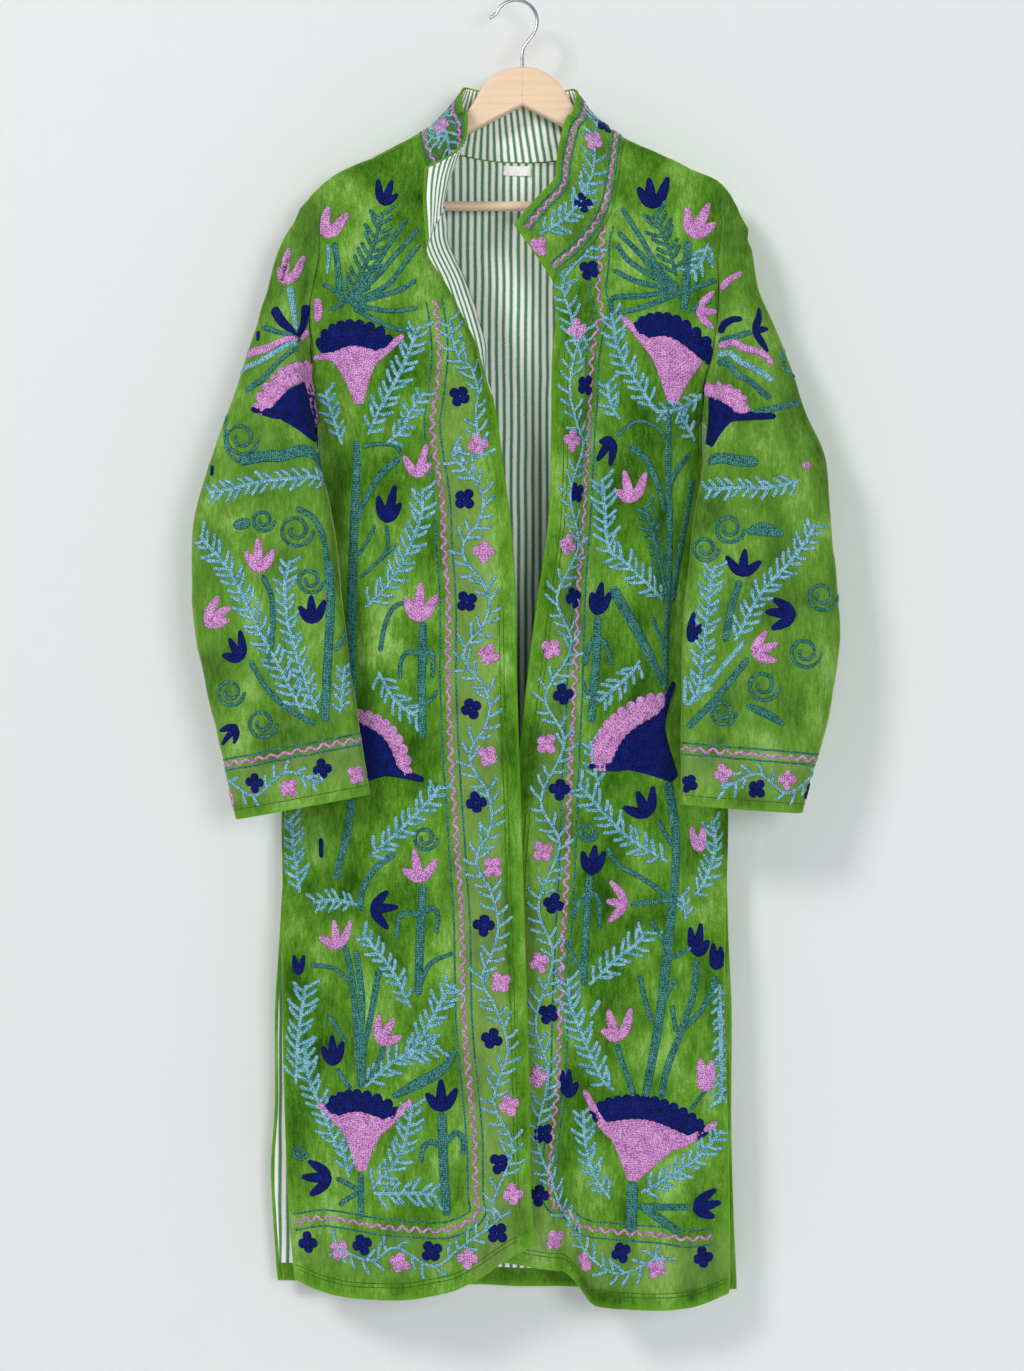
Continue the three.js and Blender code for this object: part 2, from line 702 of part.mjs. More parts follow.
// The label follows the lining's own facets, a little way in from them.
function labelGeometry() {
  const rows = [LABEL.top, LABEL.bottom];
  const columns = [LABEL.from, Math.ceil(LABEL.from), LABEL.to];
  const upper = ROWS.indexOf(SHOULDER_TURN);
  const on = (grid, row, column) => {
    const t = (row - ROWS[upper]) / (ROWS[upper + 1] - ROWS[upper]);
    const j = Math.min(Math.floor(column), BACK_COLUMNS - 1);
    const high = grid[upper][j].clone().lerp(grid[upper][j + 1], column - j);
    const low = grid[upper + 1][j].clone().lerp(grid[upper + 1][j + 1], column - j);
    return high.lerp(low, t);
  };
  const surface = {
    points: rows.map((row) => columns.map((column) => on(backSurface.points, row, column))),
    directions: rows.map((row) => columns.map((column) => on(backSurface.directions, row, column))),
    closed: false,
    outward: backSurface.outward,
  };
  const near = VELVET + LAYER_GAP + LINING + LABEL.gap;
  return wall(surface, near, near + LABEL.thickness);
}

// ---- Hanger ----
const wasm = await Module();
wasm.setup();

function solid(geometry) {
  const bare = geometry.clone();
  bare.deleteAttribute("normal");
  bare.deleteAttribute("uv");
  const merged = mergeVertices(bare, 1e-4);
  return new wasm.Manifold(
    new wasm.Mesh({
      numProp: 3,
      vertProperties: new Float32Array(merged.attributes.position.array),
      triVerts: new Uint32Array(merged.index.array),
    }),
  );
}

function geometryOf(manifold) {
  const mesh = manifold.getMesh();
  const geometry = new THREE.BufferGeometry();
  geometry.setAttribute("position", new THREE.BufferAttribute(mesh.vertProperties, 3));
  geometry.setIndex(new THREE.BufferAttribute(mesh.triVerts, 1));
  geometry.computeVertexNormals();
  return geometry;
}

function rod(radius, length, sides) {
  return new THREE.CylinderGeometry(radius, radius, length, sides);
}

// The yoke, with a socket for the bar in each arm and a hole for the hook's stem.
function yokeGeometry() {
  const outline = new THREE.Shape();
  const archSteps = 8;
  const [[archHalf]] = YOKE_TOP;
  const points = [];
  for (let i = 0; i < archSteps; i++) {
    const x = (archHalf * i) / archSteps;
    points.push([x, ARCH_TOP - ARCH_RADIUS + Math.sqrt(ARCH_RADIUS ** 2 - x * x)]);
  }
  points.push(...YOKE_TOP, ...YOKE_BOTTOM);
  const mirrored = points.slice(1).map(([x, z]) => [-x, z]).reverse();
  [...points, [0, YOKE_NOTCH_TOP], ...mirrored].forEach(([x, z], i) => {
    if (i) outline.lineTo(x, z);
    else outline.moveTo(x, z);
  });
  const geometry = new THREE.ExtrudeGeometry(outline, {
    depth: HANGER_THICKNESS - 2 * HANGER_BEVEL,
    bevelThickness: HANGER_BEVEL,
    bevelSize: HANGER_BEVEL,
    bevelOffset: -HANGER_BEVEL,
    bevelSegments: 2,
  });
  geometry.translate(0, 0, HANGER_BEVEL - HANGER_THICKNESS / 2);
  geometry.rotateX(Math.PI / 2);
  geometry.translate(HANGER_X, 0, 0);
  const socket = rod(BAR_RADIUS + SOCKET_SLACK, 2 * (BAR_HALF + SOCKET_SLACK), BAR_SIDES);
  socket.rotateZ(Math.PI / 2);
  socket.translate(HANGER_X, 0, BAR_Z);
  const holeLength = ARCH_TOP - HOOK_STEM_END + 10;
  const hole = rod(WIRE_RADIUS + SOCKET_SLACK, holeLength, WIRE_SIDES);
  hole.rotateX(Math.PI / 2);
  hole.translate(HANGER_X, 0, HOOK_STEM_END - SOCKET_SLACK + holeLength / 2);
  return geometryOf(solid(geometry).subtract(solid(socket)).subtract(solid(hole)));
}

// The hook: an arc over the rail, a flared tip, and a neck that bends back to the stem.
function hookGeometry() {
  const points = [vector(-26, 0, -16.5)];
  for (let degrees = 158; degrees >= -32; degrees -= 19) {
    const angle = THREE.MathUtils.degToRad(degrees);
    const middle = WIRE_RADIUS - HOOK_RADIUS;
    points.push(
      vector(HOOK_RADIUS * Math.cos(angle), 0, middle + HOOK_RADIUS * Math.sin(angle)),
    );
  }
  points.push(vector(12.4, 0, -39.5), vector(8, 0, -46.5), vector(HANGER_X, 0, -54));
  points.push(vector(HANGER_X, 0, -66), vector(HANGER_X, 0, HOOK_STEM_END));
  const section = new THREE.Shape();
  section.absarc(0, 0, WIRE_RADIUS, 0, 2 * Math.PI);
  return new THREE.ExtrudeGeometry(section, {
    steps: 44,
    curveSegments: WIRE_SIDES,
    bevelEnabled: false,
    extrudePath: new THREE.CatmullRomCurve3(points),
  });
}

// ---- Scene graph ----
const VELVET_LOOK = { color: 0x5f9a22, roughness: 0.85, metalness: 0 };
const LINING_LOOK = { color: 0xdfe9dc, roughness: 0.8, metalness: 0 };
const LABEL_LOOK = { color: 0xeff0ea, roughness: 0.7, metalness: 0 };
const BEECH_LOOK = { color: 0xd9b07a, roughness: 0.45, metalness: 0 };
const CHROME_LOOK = { color: 0xc8cacc, roughness: 0.15, metalness: 1 };

function piece(name, geometry, look) {
  const mesh = new THREE.Mesh(
    geometry,
    new THREE.MeshStandardMaterial({ ...look, side: THREE.DoubleSide }),
  );
  mesh.name = name;
  return mesh;
}

const velvet = (surface) => wall(surface, 0, VELVET);
const liningNear = VELVET + LAYER_GAP;
const liningFar = liningNear + LINING;
const jacket = new THREE.Group();
jacket.add(
  piece("back", velvet(backSurface), VELVET_LOOK),
  piece("right_front", velvet(rightFrontSurface), VELVET_LOOK),
  piece("right_front_side", velvet(rightFrontSideSurface), VELVET_LOOK),
  piece("left_front", velvet(leftFrontSurface), VELVET_LOOK),
  piece("left_front_side", velvet(leftFrontSideSurface), VELVET_LOOK),
  piece("right_sleeve", velvet(rightSleeveSurface), VELVET_LOOK),
  piece("right_sleeve_lower", velvet(rightSleeveLowerSurface), VELVET_LOOK),
  piece("left_sleeve", velvet(leftSleeveSurface), VELVET_LOOK),
  piece("left_sleeve_lower", velvet(leftSleeveLowerSurface), VELVET_LOOK),
  piece("collar", velvet(collarSurface), VELVET_LOOK),
  piece("back_lining", wall(backSurface, liningNear, liningFar), LINING_LOOK),
  piece("collar_lining", wall(collarSurface, liningNear, liningFar), LINING_LOOK),
  piece(
    "right_front_lining",
    wall(rightFrontSurface, liningNear, liningFar, {
      firstRow: ROWS.indexOf(LAPEL_TURN),
      lastRow: ROWS.indexOf(11),
      lastColumn: STRIP_COLUMNS + 1,
    }),
    LINING_LOOK,
  ),
  piece("neck_label", labelGeometry(), LABEL_LOOK),
);

const hanger = new THREE.Group();
const bar = piece("hanger_bar", rod(BAR_RADIUS, 2 * BAR_HALF, BAR_SIDES), BEECH_LOOK);
bar.position.set(HANGER_X, 0, BAR_Z);
bar.rotation.z = Math.PI / 2;
hanger.add(
  piece("hanger_wood", yokeGeometry(), BEECH_LOOK),
  bar,
  piece("hanger_hook", hookGeometry(), CHROME_LOOK),
);

const part = new THREE.Group();
part.add(jacket, hanger);
export default part;
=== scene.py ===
"""A long velvet suzani jacket on a wooden coat hanger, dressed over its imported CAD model.

Shapes are worked out in millimetres in the CAD frame and written to Blender in metres.
"right" and "left" are the wearer's. Numbers on the cloth marked as pixels are places in a
1024 x 1371 picture seen from the camera, and each is cast onto the piece that carries it.
"""
import math

import bmesh
import bpy
import numpy as np
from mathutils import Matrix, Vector
from mathutils.bvhtree import BVHTree


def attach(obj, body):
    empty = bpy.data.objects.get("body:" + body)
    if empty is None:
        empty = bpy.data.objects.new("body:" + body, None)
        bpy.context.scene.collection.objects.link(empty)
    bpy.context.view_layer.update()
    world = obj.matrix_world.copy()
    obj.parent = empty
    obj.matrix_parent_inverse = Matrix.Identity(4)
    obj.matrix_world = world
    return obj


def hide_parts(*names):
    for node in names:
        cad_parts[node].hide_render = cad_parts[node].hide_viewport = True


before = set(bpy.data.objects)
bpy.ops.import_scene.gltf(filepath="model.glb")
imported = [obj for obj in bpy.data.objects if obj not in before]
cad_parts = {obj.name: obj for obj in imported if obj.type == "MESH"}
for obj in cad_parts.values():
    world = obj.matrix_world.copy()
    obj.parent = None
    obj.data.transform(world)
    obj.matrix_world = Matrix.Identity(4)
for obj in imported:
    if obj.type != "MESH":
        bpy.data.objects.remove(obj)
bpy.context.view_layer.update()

MM = 0.001
EYE = np.array([-4.0, -2340.0, -695.6])  # the camera, in mm
FOCAL = 2300.0  # pixels
MIDDLE = np.array([512.0, 685.5])  # the picture's middle, in pixels


# ---- Tables shared with the CAD model: a row's place, then its values ----
class Table:
    """Cubics run through the rows, with slopes weighted by the steps on either side."""

    def __init__(self, names, rows):
        rows = np.array(rows, float)
        self.place = rows[:, 0]
        self.values = dict(zip(names.split(), rows.T))
        self.rows = rows

    def __call__(self, name, at):
        v, step = self.values[name], np.diff(self.place)
        rise = np.diff(v) / step
        mid = (rise[:-1] * step[1:] + rise[1:] * step[:-1]) / (step[:-1] + step[1:])
        slope = np.concatenate([rise[:1], mid, rise[-1:]])
        at = np.clip(at, self.place[0], self.place[-1])
        i = np.clip(np.searchsorted(self.place, at, side="right") - 1, 0, len(step) - 1)
        t = (at - self.place[i]) / step[i]
        u = 1 - t
        return (
            v[i] * u * u * (1 + 2 * t)
            + v[i + 1] * t * t * (3 - 2 * t)
            + slope[i] * step[i] * t * u * u
            - slope[i + 1] * step[i] * t * t * u
        )


UNDERARM, VENT, HEM = 10, 20, 27
VELVET, LAYER_GAP, LINING = 2.0, 0.3, 0.8
ROLL_RADIUS, FRONT_FULLNESS, BACK_FULLNESS, SLEEVE_ROUNDNESS = 4.0, 2.4, 2.6, 0.85
NECK_DEPTH, NECK_DROP, NECK_SHARE, COLLAR_BOW = 18.0, 24.5, 0.25, 3.0

RIGHT_ARMHOLE = Table("row x z depth", [
    (0, -196, -184, 0), (0.35, -196, -187.5, 8.5), (1, -197, -205, 13), (2, -198, -232, 17),
    (3, -199, -262, 19), (4, -204, -290, 20), (5, -208, -314, 20), (6, -208, -340, 19),
    (7, -207, -365, 17), (8, -206, -388, 14), (9, -203, -410, 9), (10, -201, -430, 0)])
LEFT_ARMHOLE = Table("row x z depth", [
    (0, 208, -183, 0), (0.35, 208, -186.5, 8.5), (1, 207.5, -205, 13), (2, 208, -232, 17),
    (3, 204, -262, 19), (4, 204.5, -290, 20), (5, 204, -314, 20), (6, 201, -340, 19),
    (7, 197, -365, 17), (8, 191, -388, 14), (9, 189.5, -410, 9), (10, 189, -430, 0)])
RIGHT_SIDE = Table("row x y z", [
    (10, -201, 0, -430), (11, -201, 10.5, -478), (12, -206, 12.5, -526), (14, -215, 14, -621),
    (16, -227, 14, -716), (18, -238.5, 12, -810), (20, -238, 9, -904)])
LEFT_SIDE = Table("row x y z", [
    (10, 189, 0, -430), (11, 191, 10.5, -478), (12, 195.5, 12.5, -526), (14, 202, 14, -621),
    (16, 208.5, 14, -716), (18, 216.5, 12, -810), (20, 215, 9, -908)])
RIGHT_VENT = Table("row x_front y_front z_front x_back y_back z_back", [
    (20, -238, 9, -904, -238, 9, -904), (21, -237, -4, -960, -242, 16, -962),
    (22, -236.5, -7, -1016, -246, 19, -1020), (24, -234, -8.5, -1128, -247, 20, -1135),
    (25, -232, -9, -1184, -250.5, 20, -1190), (26, -229, -10, -1240, -248, 20, -1245),
    (27, -224, -10, -1296, -244, 20, -1305)])
LEFT_VENT = Table("row x_front y_front z_front x_back y_back z_back", [
    (20, 215, 9, -908, 215, 9, -908), (21, 212, -3, -962, 217, 13, -962),
    (22, 211, -6, -1020, 220, 16.5, -1020), (24, 214, -8, -1135, 220, 19, -1135),
    (26, 216, -10, -1250, 223, 20, -1250), (27, 216, -10, -1311, 226, 20, -1314)])
RIGHT_ROLL = Table("row x y z strip turn", [
    (0, -115.3, 0, -141.9, 15, 0), (0.35, -114.4, -9, -145.8, 15, 0),
    (1, -110.4, -14, -160.4, 14, 0), (2, -97.8, -21.5, -183.2, 12, 0),
    (3, -81.7, -31, -208.3, 8, 40), (4, -75, -37, -233, 17, 165), (5, -72, -38, -256, 31, 170),
    (6, -56, -39, -292, 27, 170), (7, -44, -39, -328, 21, 170), (8, -36, -39, -362, 16, 150),
    (9, -38, -40, -400, 18, 62), (10, -45, -41, -437, 27, 6), (11, -44, -41, -484, 32, 0),
    (12, -39, -42, -531, 33, 0), (16, -33, -43, -718, 34, 0), (20, -27, -44.5, -905, 34, 0),
    (24, -21, -46.5, -1108, 34, 0), (26, -19, -48, -1209, 34, 0), (27, -14, -48, -1260, 33, 0)])
LEFT_OPENING = Table("row x y z", [
    (0, 111, 0, -138), (0.35, 110, -9, -142), (1, 107, -14, -160), (2, 103, -21, -188),
    (3, 97, -27, -216), (4, 85, -32, -241), (5, 64, -37, -266), (6, 38, -40, -291),
    (7, 41, -37, -326), (8, 37, -37, -362), (9, 36, -37, -399), (10, 36, -36, -436),
    (12, 33, -36, -530), (14, 20, -36, -624), (16, 8.5, -34.5, -718), (18, -1, -32, -812),
    (20, -8, -31, -906), (22, -13.5, -31, -1007), (24, -19, -31, -1109), (26, -24, -32, -1212),
    (27, -26, -32, -1272)])
BACK_MIDDLE = Table("row y", [(0, 14), (1, 18), (3, 23), (6, 27), (10, 29), (20, 31), (27, 32)])
RIGHT_HEM, LEFT_HEM, BACK_HEM_DIP = (0, 86, 32), (70, 105, 28), 4
COLLAR_EDGE = Table("place x y z", [
    (-5, -90, -62, -183), (-4.5, -76, -62, -176), (-4, -64, -60, -169), (-3, -52, -48, -153),
    (-2, -49, -35, -134), (-1, -50, -22, -114), (0, -56, -10, -97), (0.06, -56, 2, -86),
    (0.16, -49, 10, -86), (0.3, -33, 15, -88), (0.5, -4, 16, -89), (0.75, 45, 14, -89),
    (0.92, 64, 4, -88), (1, 62, -8, -100), (2, 52, -20, -120), (3, 46, -29, -143),
    (4, 41, -37, -169), (5, 40, -45, -189), (6, 21, -52, -210), (7, -1, -54, -237)])
SLEEVE_NAMES = "row x_out y_out z_out x_in y_in z_in front back"
RIGHT_SLEEVE = Table(SLEEVE_NAMES, [
    (1, -219, -4, -210, -208, -12, -441, 18, 18), (2, -235, -6, -244, -205, -25, -461, 21, 20),
    (3, -249, -8, -293, -196, -34, -487, 24, 20), (4, -268, -12, -349, -186, -40, -518, 24, 20),
    (5, -291, -16, -422, -180, -43, -555, 24, 20), (6, -312, -20, -491, -175, -46, -600, 23, 20),
    (7, -325, -23, -539, -170, -48, -638, 23, 19), (8, -325, -25, -599, -166, -49, -678, 22, 19),
    (9, -319, -27, -652, -161, -50, -708, 22, 18), (10, -309, -28, -704, -157, -51, -737, 21, 18),
    (11, -298, -29, -747, -153, -52, -762, 20, 17), (12, -289, -30, -785, -149, -52, -785, 20, 17),
    (13, -280, -30, -829, -146, -52, -803, 20, 16)])
LEFT_SLEEVE = Table(SLEEVE_NAMES, [
    (1, 225, -4, -210, 196, -12, -441, 18, 18), (2, 237, -6, -247, 193, -25, -461, 21, 20),
    (3, 248, -8, -297, 186, -34, -487, 24, 20), (4, 264, -11, -336, 179, -40, -515, 24, 20),
    (5, 281, -14, -380, 174, -43, -550, 24, 20), (6, 293, -16, -419, 171, -46, -582, 23, 20),
    (7, 313, -18, -465, 167, -48, -615, 23, 19), (8, 317, -20, -514, 166, -49, -650, 22, 19),
    (9, 320, -22, -574, 165, -50, -682, 22, 18), (10, 326, -24, -648, 165, -51, -715, 21, 18),
    (11, 314, -26, -716, 164, -52, -745, 20, 17), (12, 301, -27, -770, 164, -52, -781, 20, 17),
    (13, 287, -28, -823, 163, -52, -813, 20, 16)])
RIGHT = dict(armhole=RIGHT_ARMHOLE, side=RIGHT_SIDE, vent=RIGHT_VENT, sleeve=RIGHT_SLEEVE)
LEFT = dict(armhole=LEFT_ARMHOLE, side=LEFT_SIDE, vent=LEFT_VENT, sleeve=LEFT_SLEEVE)

# Broad folds that the CAD model has too: top, bottom, x_top, x_bottom, left, right, depth
RIGHT_FRONT_FOLDS = [
    (-780, -1010, -156, -158, 12, 22, -7), (-820, -1040, -200, -196, 16, 16, 6),
    (-1130, -1330, -60, -40, 14, 14, 4), (-1150, -1330, -20, -10, 14, 12, -4),
    (-215, -330, -150, -120, 14, 18, 4), (-1000, -1400, -110, -104, 20, 24, -5)]
LEFT_FRONT_FOLDS = [
    (-290, -690, 92, 60, 15, 34, 18), (-440, -760, 148, 168, 16, 18, 5),
    (-1050, -1500, 46, 60, 9, 14, 12), (-1050, -1500, 78, 92, 16, 30, -9),
    (-760, -1080, 120, 110, 18, 22, 5)]
BACK_FOLDS = [
    (-420, -1360, -120, -140, 22, 26, -6), (-520, -1480, 70, 84, 24, 24, 6),
    (-800, -1500, -30, -34, 22, 20, -5), (-560, -1340, 146, 158, 20, 20, -5)]


# ---- Surfaces, as in the CAD model, for whole arrays of places at once ----
def xyz(*parts):
    return np.stack(np.broadcast_arrays(*parts), -1).astype(float)


def mix(a, b, t):
    return a + (b - a) * np.asarray(t)[..., None]


def smooth(t):
    t = np.clip(t, 0, 1)
    return t * t * (3 - 2 * t)


def unit(v):
    return v / np.maximum(np.linalg.norm(v, axis=-1, keepdims=True), 1e-9)


def fold_depth(folds, x, z):
    depth = np.zeros(np.broadcast(x, z).shape)
    for top, bottom, x_top, x_bottom, left, right, deep in folds:
        t = np.clip((top - z) / (top - bottom), 0, 1)
        away = x - (x_top + (x_bottom - x_top) * t)
        width = np.where(away < 0, left, right)
        depth = depth + deep * np.sin(np.pi * t).clip(0) ** 0.7 * np.exp(-((away / width) ** 2))
    return depth


def panel_edge(side, row, face):
    sign = -1 if face == "front" else 1
    row = np.asarray(row, float)
    arm, seam, vent = side["armhole"], side["side"], side["vent"]
    top = [arm("x", row), sign * arm("depth", row), arm("z", row)]
    middle = [seam(axis, row) for axis in "xyz"]
    low = [vent(f"{axis}_{face}", row) for axis in "xyz"]
    pick = lambda a, b, c: np.where(row <= UNDERARM, a, np.where(row <= VENT, b, c))
    return xyz(*[pick(a, b, c) for a, b, c in zip(top, middle, low)])


def hem_dip(hem, distance, width, row):
    start, end, dip = hem
    low = np.clip((row - VENT) / (HEM - VENT), 0, 1) ** 2
    near = smooth((distance - start) / (end - start))
    far = 1 - ((distance - end) / np.maximum(width - end, 20)) ** 3
    return dip * low * np.where(distance < end, near, far)


def front_span(inner, outer, across, folds):
    x = inner[..., 0] + (outer[..., 0] - inner[..., 0]) * across
    z = inner[..., 2] + (outer[..., 2] - inner[..., 2]) * across
    y = inner[..., 1] + (outer[..., 1] - inner[..., 1]) * across**FRONT_FULLNESS
    fade = smooth(across * 8) * smooth((1 - across) * 8)
    return xyz(x, y + fold_depth(folds, x, z) * fade, z)


def right_front(row, across):
    row, across = np.broadcast_arrays(np.asarray(row, float), np.asarray(across, float))
    roll = xyz(*[RIGHT_ROLL(axis, row) for axis in "xyz"])
    outer = panel_edge(RIGHT, row, "front")
    strip = RIGHT_ROLL("strip", row)
    width = strip + np.abs(outer[..., 0] - roll[..., 0])
    flat = front_span(roll, outer, across.clip(0), RIGHT_FRONT_FOLDS)
    flat[..., 2] -= hem_dip(RIGHT_HEM, strip + across.clip(0) * (width - strip), width, row)
    turn = np.radians(RIGHT_ROLL("turn", row)).clip(0)
    distance = (-across).clip(0) * strip
    near = np.full(across.shape, 0.02)
    along = unit(roll - front_span(roll, outer, near, RIGHT_FRONT_FOLDS))
    forward = unit(xyz(along[..., 1], -along[..., 0], 0))
    angle = np.minimum(distance / ROLL_RADIUS, turn)
    rest = (distance - ROLL_RADIUS * turn).clip(0)
    out = ROLL_RADIUS * np.sin(angle) + rest * np.cos(turn)
    up = ROLL_RADIUS * (1 - np.cos(angle)) + rest * np.sin(turn)
    turned = roll + along * out[..., None] + forward * up[..., None]
    turned[..., 2] -= hem_dip(RIGHT_HEM, strip - distance, width, row)
    return np.where(across[..., None] >= 0, flat, turned)


def left_front(row, across):
    row, across = np.broadcast_arrays(np.asarray(row, float), np.asarray(across, float))
    edge = xyz(*[LEFT_OPENING(axis, row) for axis in "xyz"])
    outer = panel_edge(LEFT, row, "front")
    width = np.abs(outer[..., 0] - edge[..., 0])
    point = front_span(edge, outer, across, LEFT_FRONT_FOLDS)
    point[..., 2] -= hem_dip(LEFT_HEM, across * width, width, row)
    return point


def back_top(across):
    across = np.asarray(across, float)
    right_tip, left_tip = panel_edge(RIGHT, 0, "back"), panel_edge(LEFT, 0, "back")
    right_neck, left_neck = right_front(0, -1), left_front(0, 0)
    along = np.clip((across - NECK_SHARE) / (1 - 2 * NECK_SHARE), 0, 1)
    out = np.abs(2 * along - 1)
    neck = mix(right_neck, left_neck, along)
    neck[..., 1] = NECK_DEPTH * (1 - out**9)
    neck[..., 2] -= NECK_DROP * (1 - out**2.2)
    right = mix(right_tip, right_neck, (across / NECK_SHARE).clip(0, 1))
    left = mix(left_tip, left_neck, ((1 - across) / NECK_SHARE).clip(0, 1))
    at = across[..., None]
    return np.where(at < NECK_SHARE, right, np.where(at > 1 - NECK_SHARE, left, neck))


def back(row, across):
    row, across = np.broadcast_arrays(np.asarray(row, float), np.asarray(across, float))
    right, left = panel_edge(RIGHT, row, "back"), panel_edge(LEFT, row, "back")
    top = back_top(across)
    tips = mix(panel_edge(RIGHT, 0, "back"), panel_edge(LEFT, 0, "back"), across)
    near = (1 - row / UNDERARM).clip(0)
    low = np.clip((row - VENT) / (HEM - VENT), 0, 1) ** 2
    base = mix(right, left, across)
    x = base[..., 0] + (top[..., 0] - tips[..., 0]) * near
    z = base[..., 2] + (top[..., 2] - tips[..., 2]) * near
    z = z - BACK_HEM_DIP * low * np.sin(np.pi * across)
    full = 1 - np.abs(2 * across - 1) ** BACK_FULLNESS
    below = 1 - (1 - row.clip(0, 1)) ** 2.2
    y = base[..., 1] + (BACK_MIDDLE("y", row) - base[..., 1]) * full * below
    y = y + top[..., 1] * (1 - below)
    y = y - fold_depth(BACK_FOLDS, x, z) * smooth(across * 8) * smooth((1 - across) * 8)
    return xyz(x, y, z)


def sleeve(side, row, around):
    """around: 0 underarm, 1 shoulder, by way of the front; 2 is the underarm again."""
    row, around = np.broadcast_arrays(np.asarray(row, float), np.asarray(around, float))
    behind = around > 1
    up = np.where(behind, 2 - around, around)
    at = row.clip(1)
    get = lambda name: xyz(*[side["sleeve"](f"{axis}_{name}", at) for axis in "xyz"])
    outer, inner = get("out"), get("in")
    chord = outer - inner
    line = unit(chord)
    swell = unit(np.array([0, -1.0, 0]) + line * line[..., 1:2])
    depth = np.where(behind, -side["sleeve"]("back", at), side["sleeve"]("front", at))
    ring = inner + chord * ((1 - np.cos(np.pi * up)) / 2)[..., None]
    ring = ring + swell * (depth * np.sin(np.pi * up).clip(0) ** SLEEVE_ROUNDNESS)[..., None]
    front = panel_edge(side, UNDERARM * (1 - up), "front")
    rear = panel_edge(side, UNDERARM * (1 - up), "back")
    armhole = np.where(behind[..., None], rear, front)
    return mix(armhole, ring, row.clip(0, 1))


def neck_seam(place):
    place = np.asarray(place, float)
    right = right_front((-place).clip(0), -1)
    middle = back_top(NECK_SHARE + place.clip(0, 1) * (1 - 2 * NECK_SHARE))
    left = left_front((place - 1).clip(0), 0)
    at = place[..., None]
    return np.where(at <= 0, right, np.where(at < 1, middle, left))


def collar_band(up, place):
    up, place = np.broadcast_arrays(np.asarray(up, float), np.asarray(place, float))
    seam = neck_seam(place)
    edge = xyz(*[COLLAR_EDGE(axis, place) for axis in "xyz"])
    ahead, behind = neck_seam((place + 0.05).clip(-5, 7)), neck_seam((place - 0.05).clip(-5, 7))
    out = unit(np.cross(ahead - behind, edge - seam))
    return mix(seam, edge, up) - out * (COLLAR_BOW * np.sin(np.pi * up))[..., None]


# ---- Fine cloth ----
def noise(x, y, seed):
    """Smooth noise from -1 to 1, its features one unit across."""
    i, j = np.floor(x), np.floor(y)
    fx, fy = smooth(x - i), smooth(y - j)

    def knot(a, b):
        s = np.sin(a * 127.1 + b * 311.7 + seed * 74.7) * 43758.5453
        return (s - np.floor(s)) * 2 - 1

    top = knot(i, j) * (1 - fx) + knot(i + 1, j) * fx
    low = knot(i, j + 1) * (1 - fx) + knot(i + 1, j + 1) * fx
    return top * (1 - fy) + low * fy


def spread(points, axis):
    """Distance down a grid from its first row (axis 0), or across from its first column (1)."""
    steps = np.linalg.norm(np.diff(points, axis=axis), axis=-1)
    start = np.zeros_like(np.take(steps, [0], axis))
    return np.cumsum(np.concatenate([start, steps], axis), axis)


def smooth_line(points, per_step):
    """A Catmull-Rom curve through points."""
    p = np.asarray(points, float)
    p = np.concatenate([[2 * p[0] - p[1]], p, [2 * p[-1] - p[-2]]])
    out = []
    for i in range(1, len(p) - 2):
        for t in np.linspace(0, 1, per_step, endpoint=False):
            a, b, c, d = p[i - 1 : i + 3]
            out.append(0.5 * (2 * b + (c - a) * t + (2 * a - 5 * b + 4 * c - d) * t * t
                              + (3 * b - 3 * c + d - a) * t**3))
    return np.array([*out, p[-2]])


def creases(table, x, z):
    """Ridges (height over 0) and valleys along short lines from x0, z0 to x1, z1."""
    out = np.zeros(x.shape)
    for x0, z0, x1, z1, width, height in table:
        dx, dz = x1 - x0, z1 - z0
        t = ((x - x0) * dx + (z - z0) * dz) / (dx * dx + dz * dz)
        off = ((x - x0) * dz - (z - z0) * dx) / math.hypot(dx, dz)
        along = np.sin(np.pi * t.clip(0, 1)) ** 0.7
        out += 1.5 * height * along * np.exp(-((off / width) ** 2))
    return out


class Cloth:
    """A fine grid on the outer face of a piece of cloth, with its outward directions."""

    def __init__(self, points, outward, closed=False):
        self.outward, self.closed = outward, closed
        self.set(points)

    def set(self, points):
        self.points = points
        down = np.gradient(points, axis=0)
        if self.closed:
            across = (np.roll(points, -1, 1) - np.roll(points, 1, 1)) / 2
        else:
            across = np.gradient(points, axis=1)
        self.down, self.across = down, across
        self.normals = unit(np.cross(down, across)) * self.outward

    def push(self, height):
        self.set(self.points + self.normals * height[..., None])


ROWS = np.concatenate([
    [0, 0.06, 0.18], np.linspace(0.35, 1, 5),
    np.linspace(1, UNDERARM, 46)[1:], np.linspace(UNDERARM, HEM, 171)[1:]])
NEAR_EDGE = np.array([0, 0.006, 0.016])  # extra columns along an edge
FAR = 1e3  # stands for a distance where there is no such edge, in mm
VENT_TOP = 20.5  # the row from which the sides are open
STITCH_LINES = (12, 16)  # the double row of green stitches, in mm from an edge
TURNED_IN = 17  # how far the cloth is doubled at an edge, in mm


def columns(count, start=True, end=True):
    inner = np.linspace(0, 1, count + 1)[1:-1]
    return np.concatenate([NEAR_EDGE if start else [0], inner, 1 - NEAR_EDGE[::-1] if end else [1]])


def read_off(at, run, line):
    """Points of a line at other distances than those in run."""
    return np.stack([np.interp(at, run, values) for values in line.T], -1)


def strip(distance, start, end, fade):
    """1 inside a strip along an edge and 0 outside it, with soft sides."""
    return smooth((distance - start) / 8) * smooth((end - distance) / fade)


def seam(distance, depth=0.9, width=1.8):
    return -depth * np.exp(-((distance / width) ** 2))


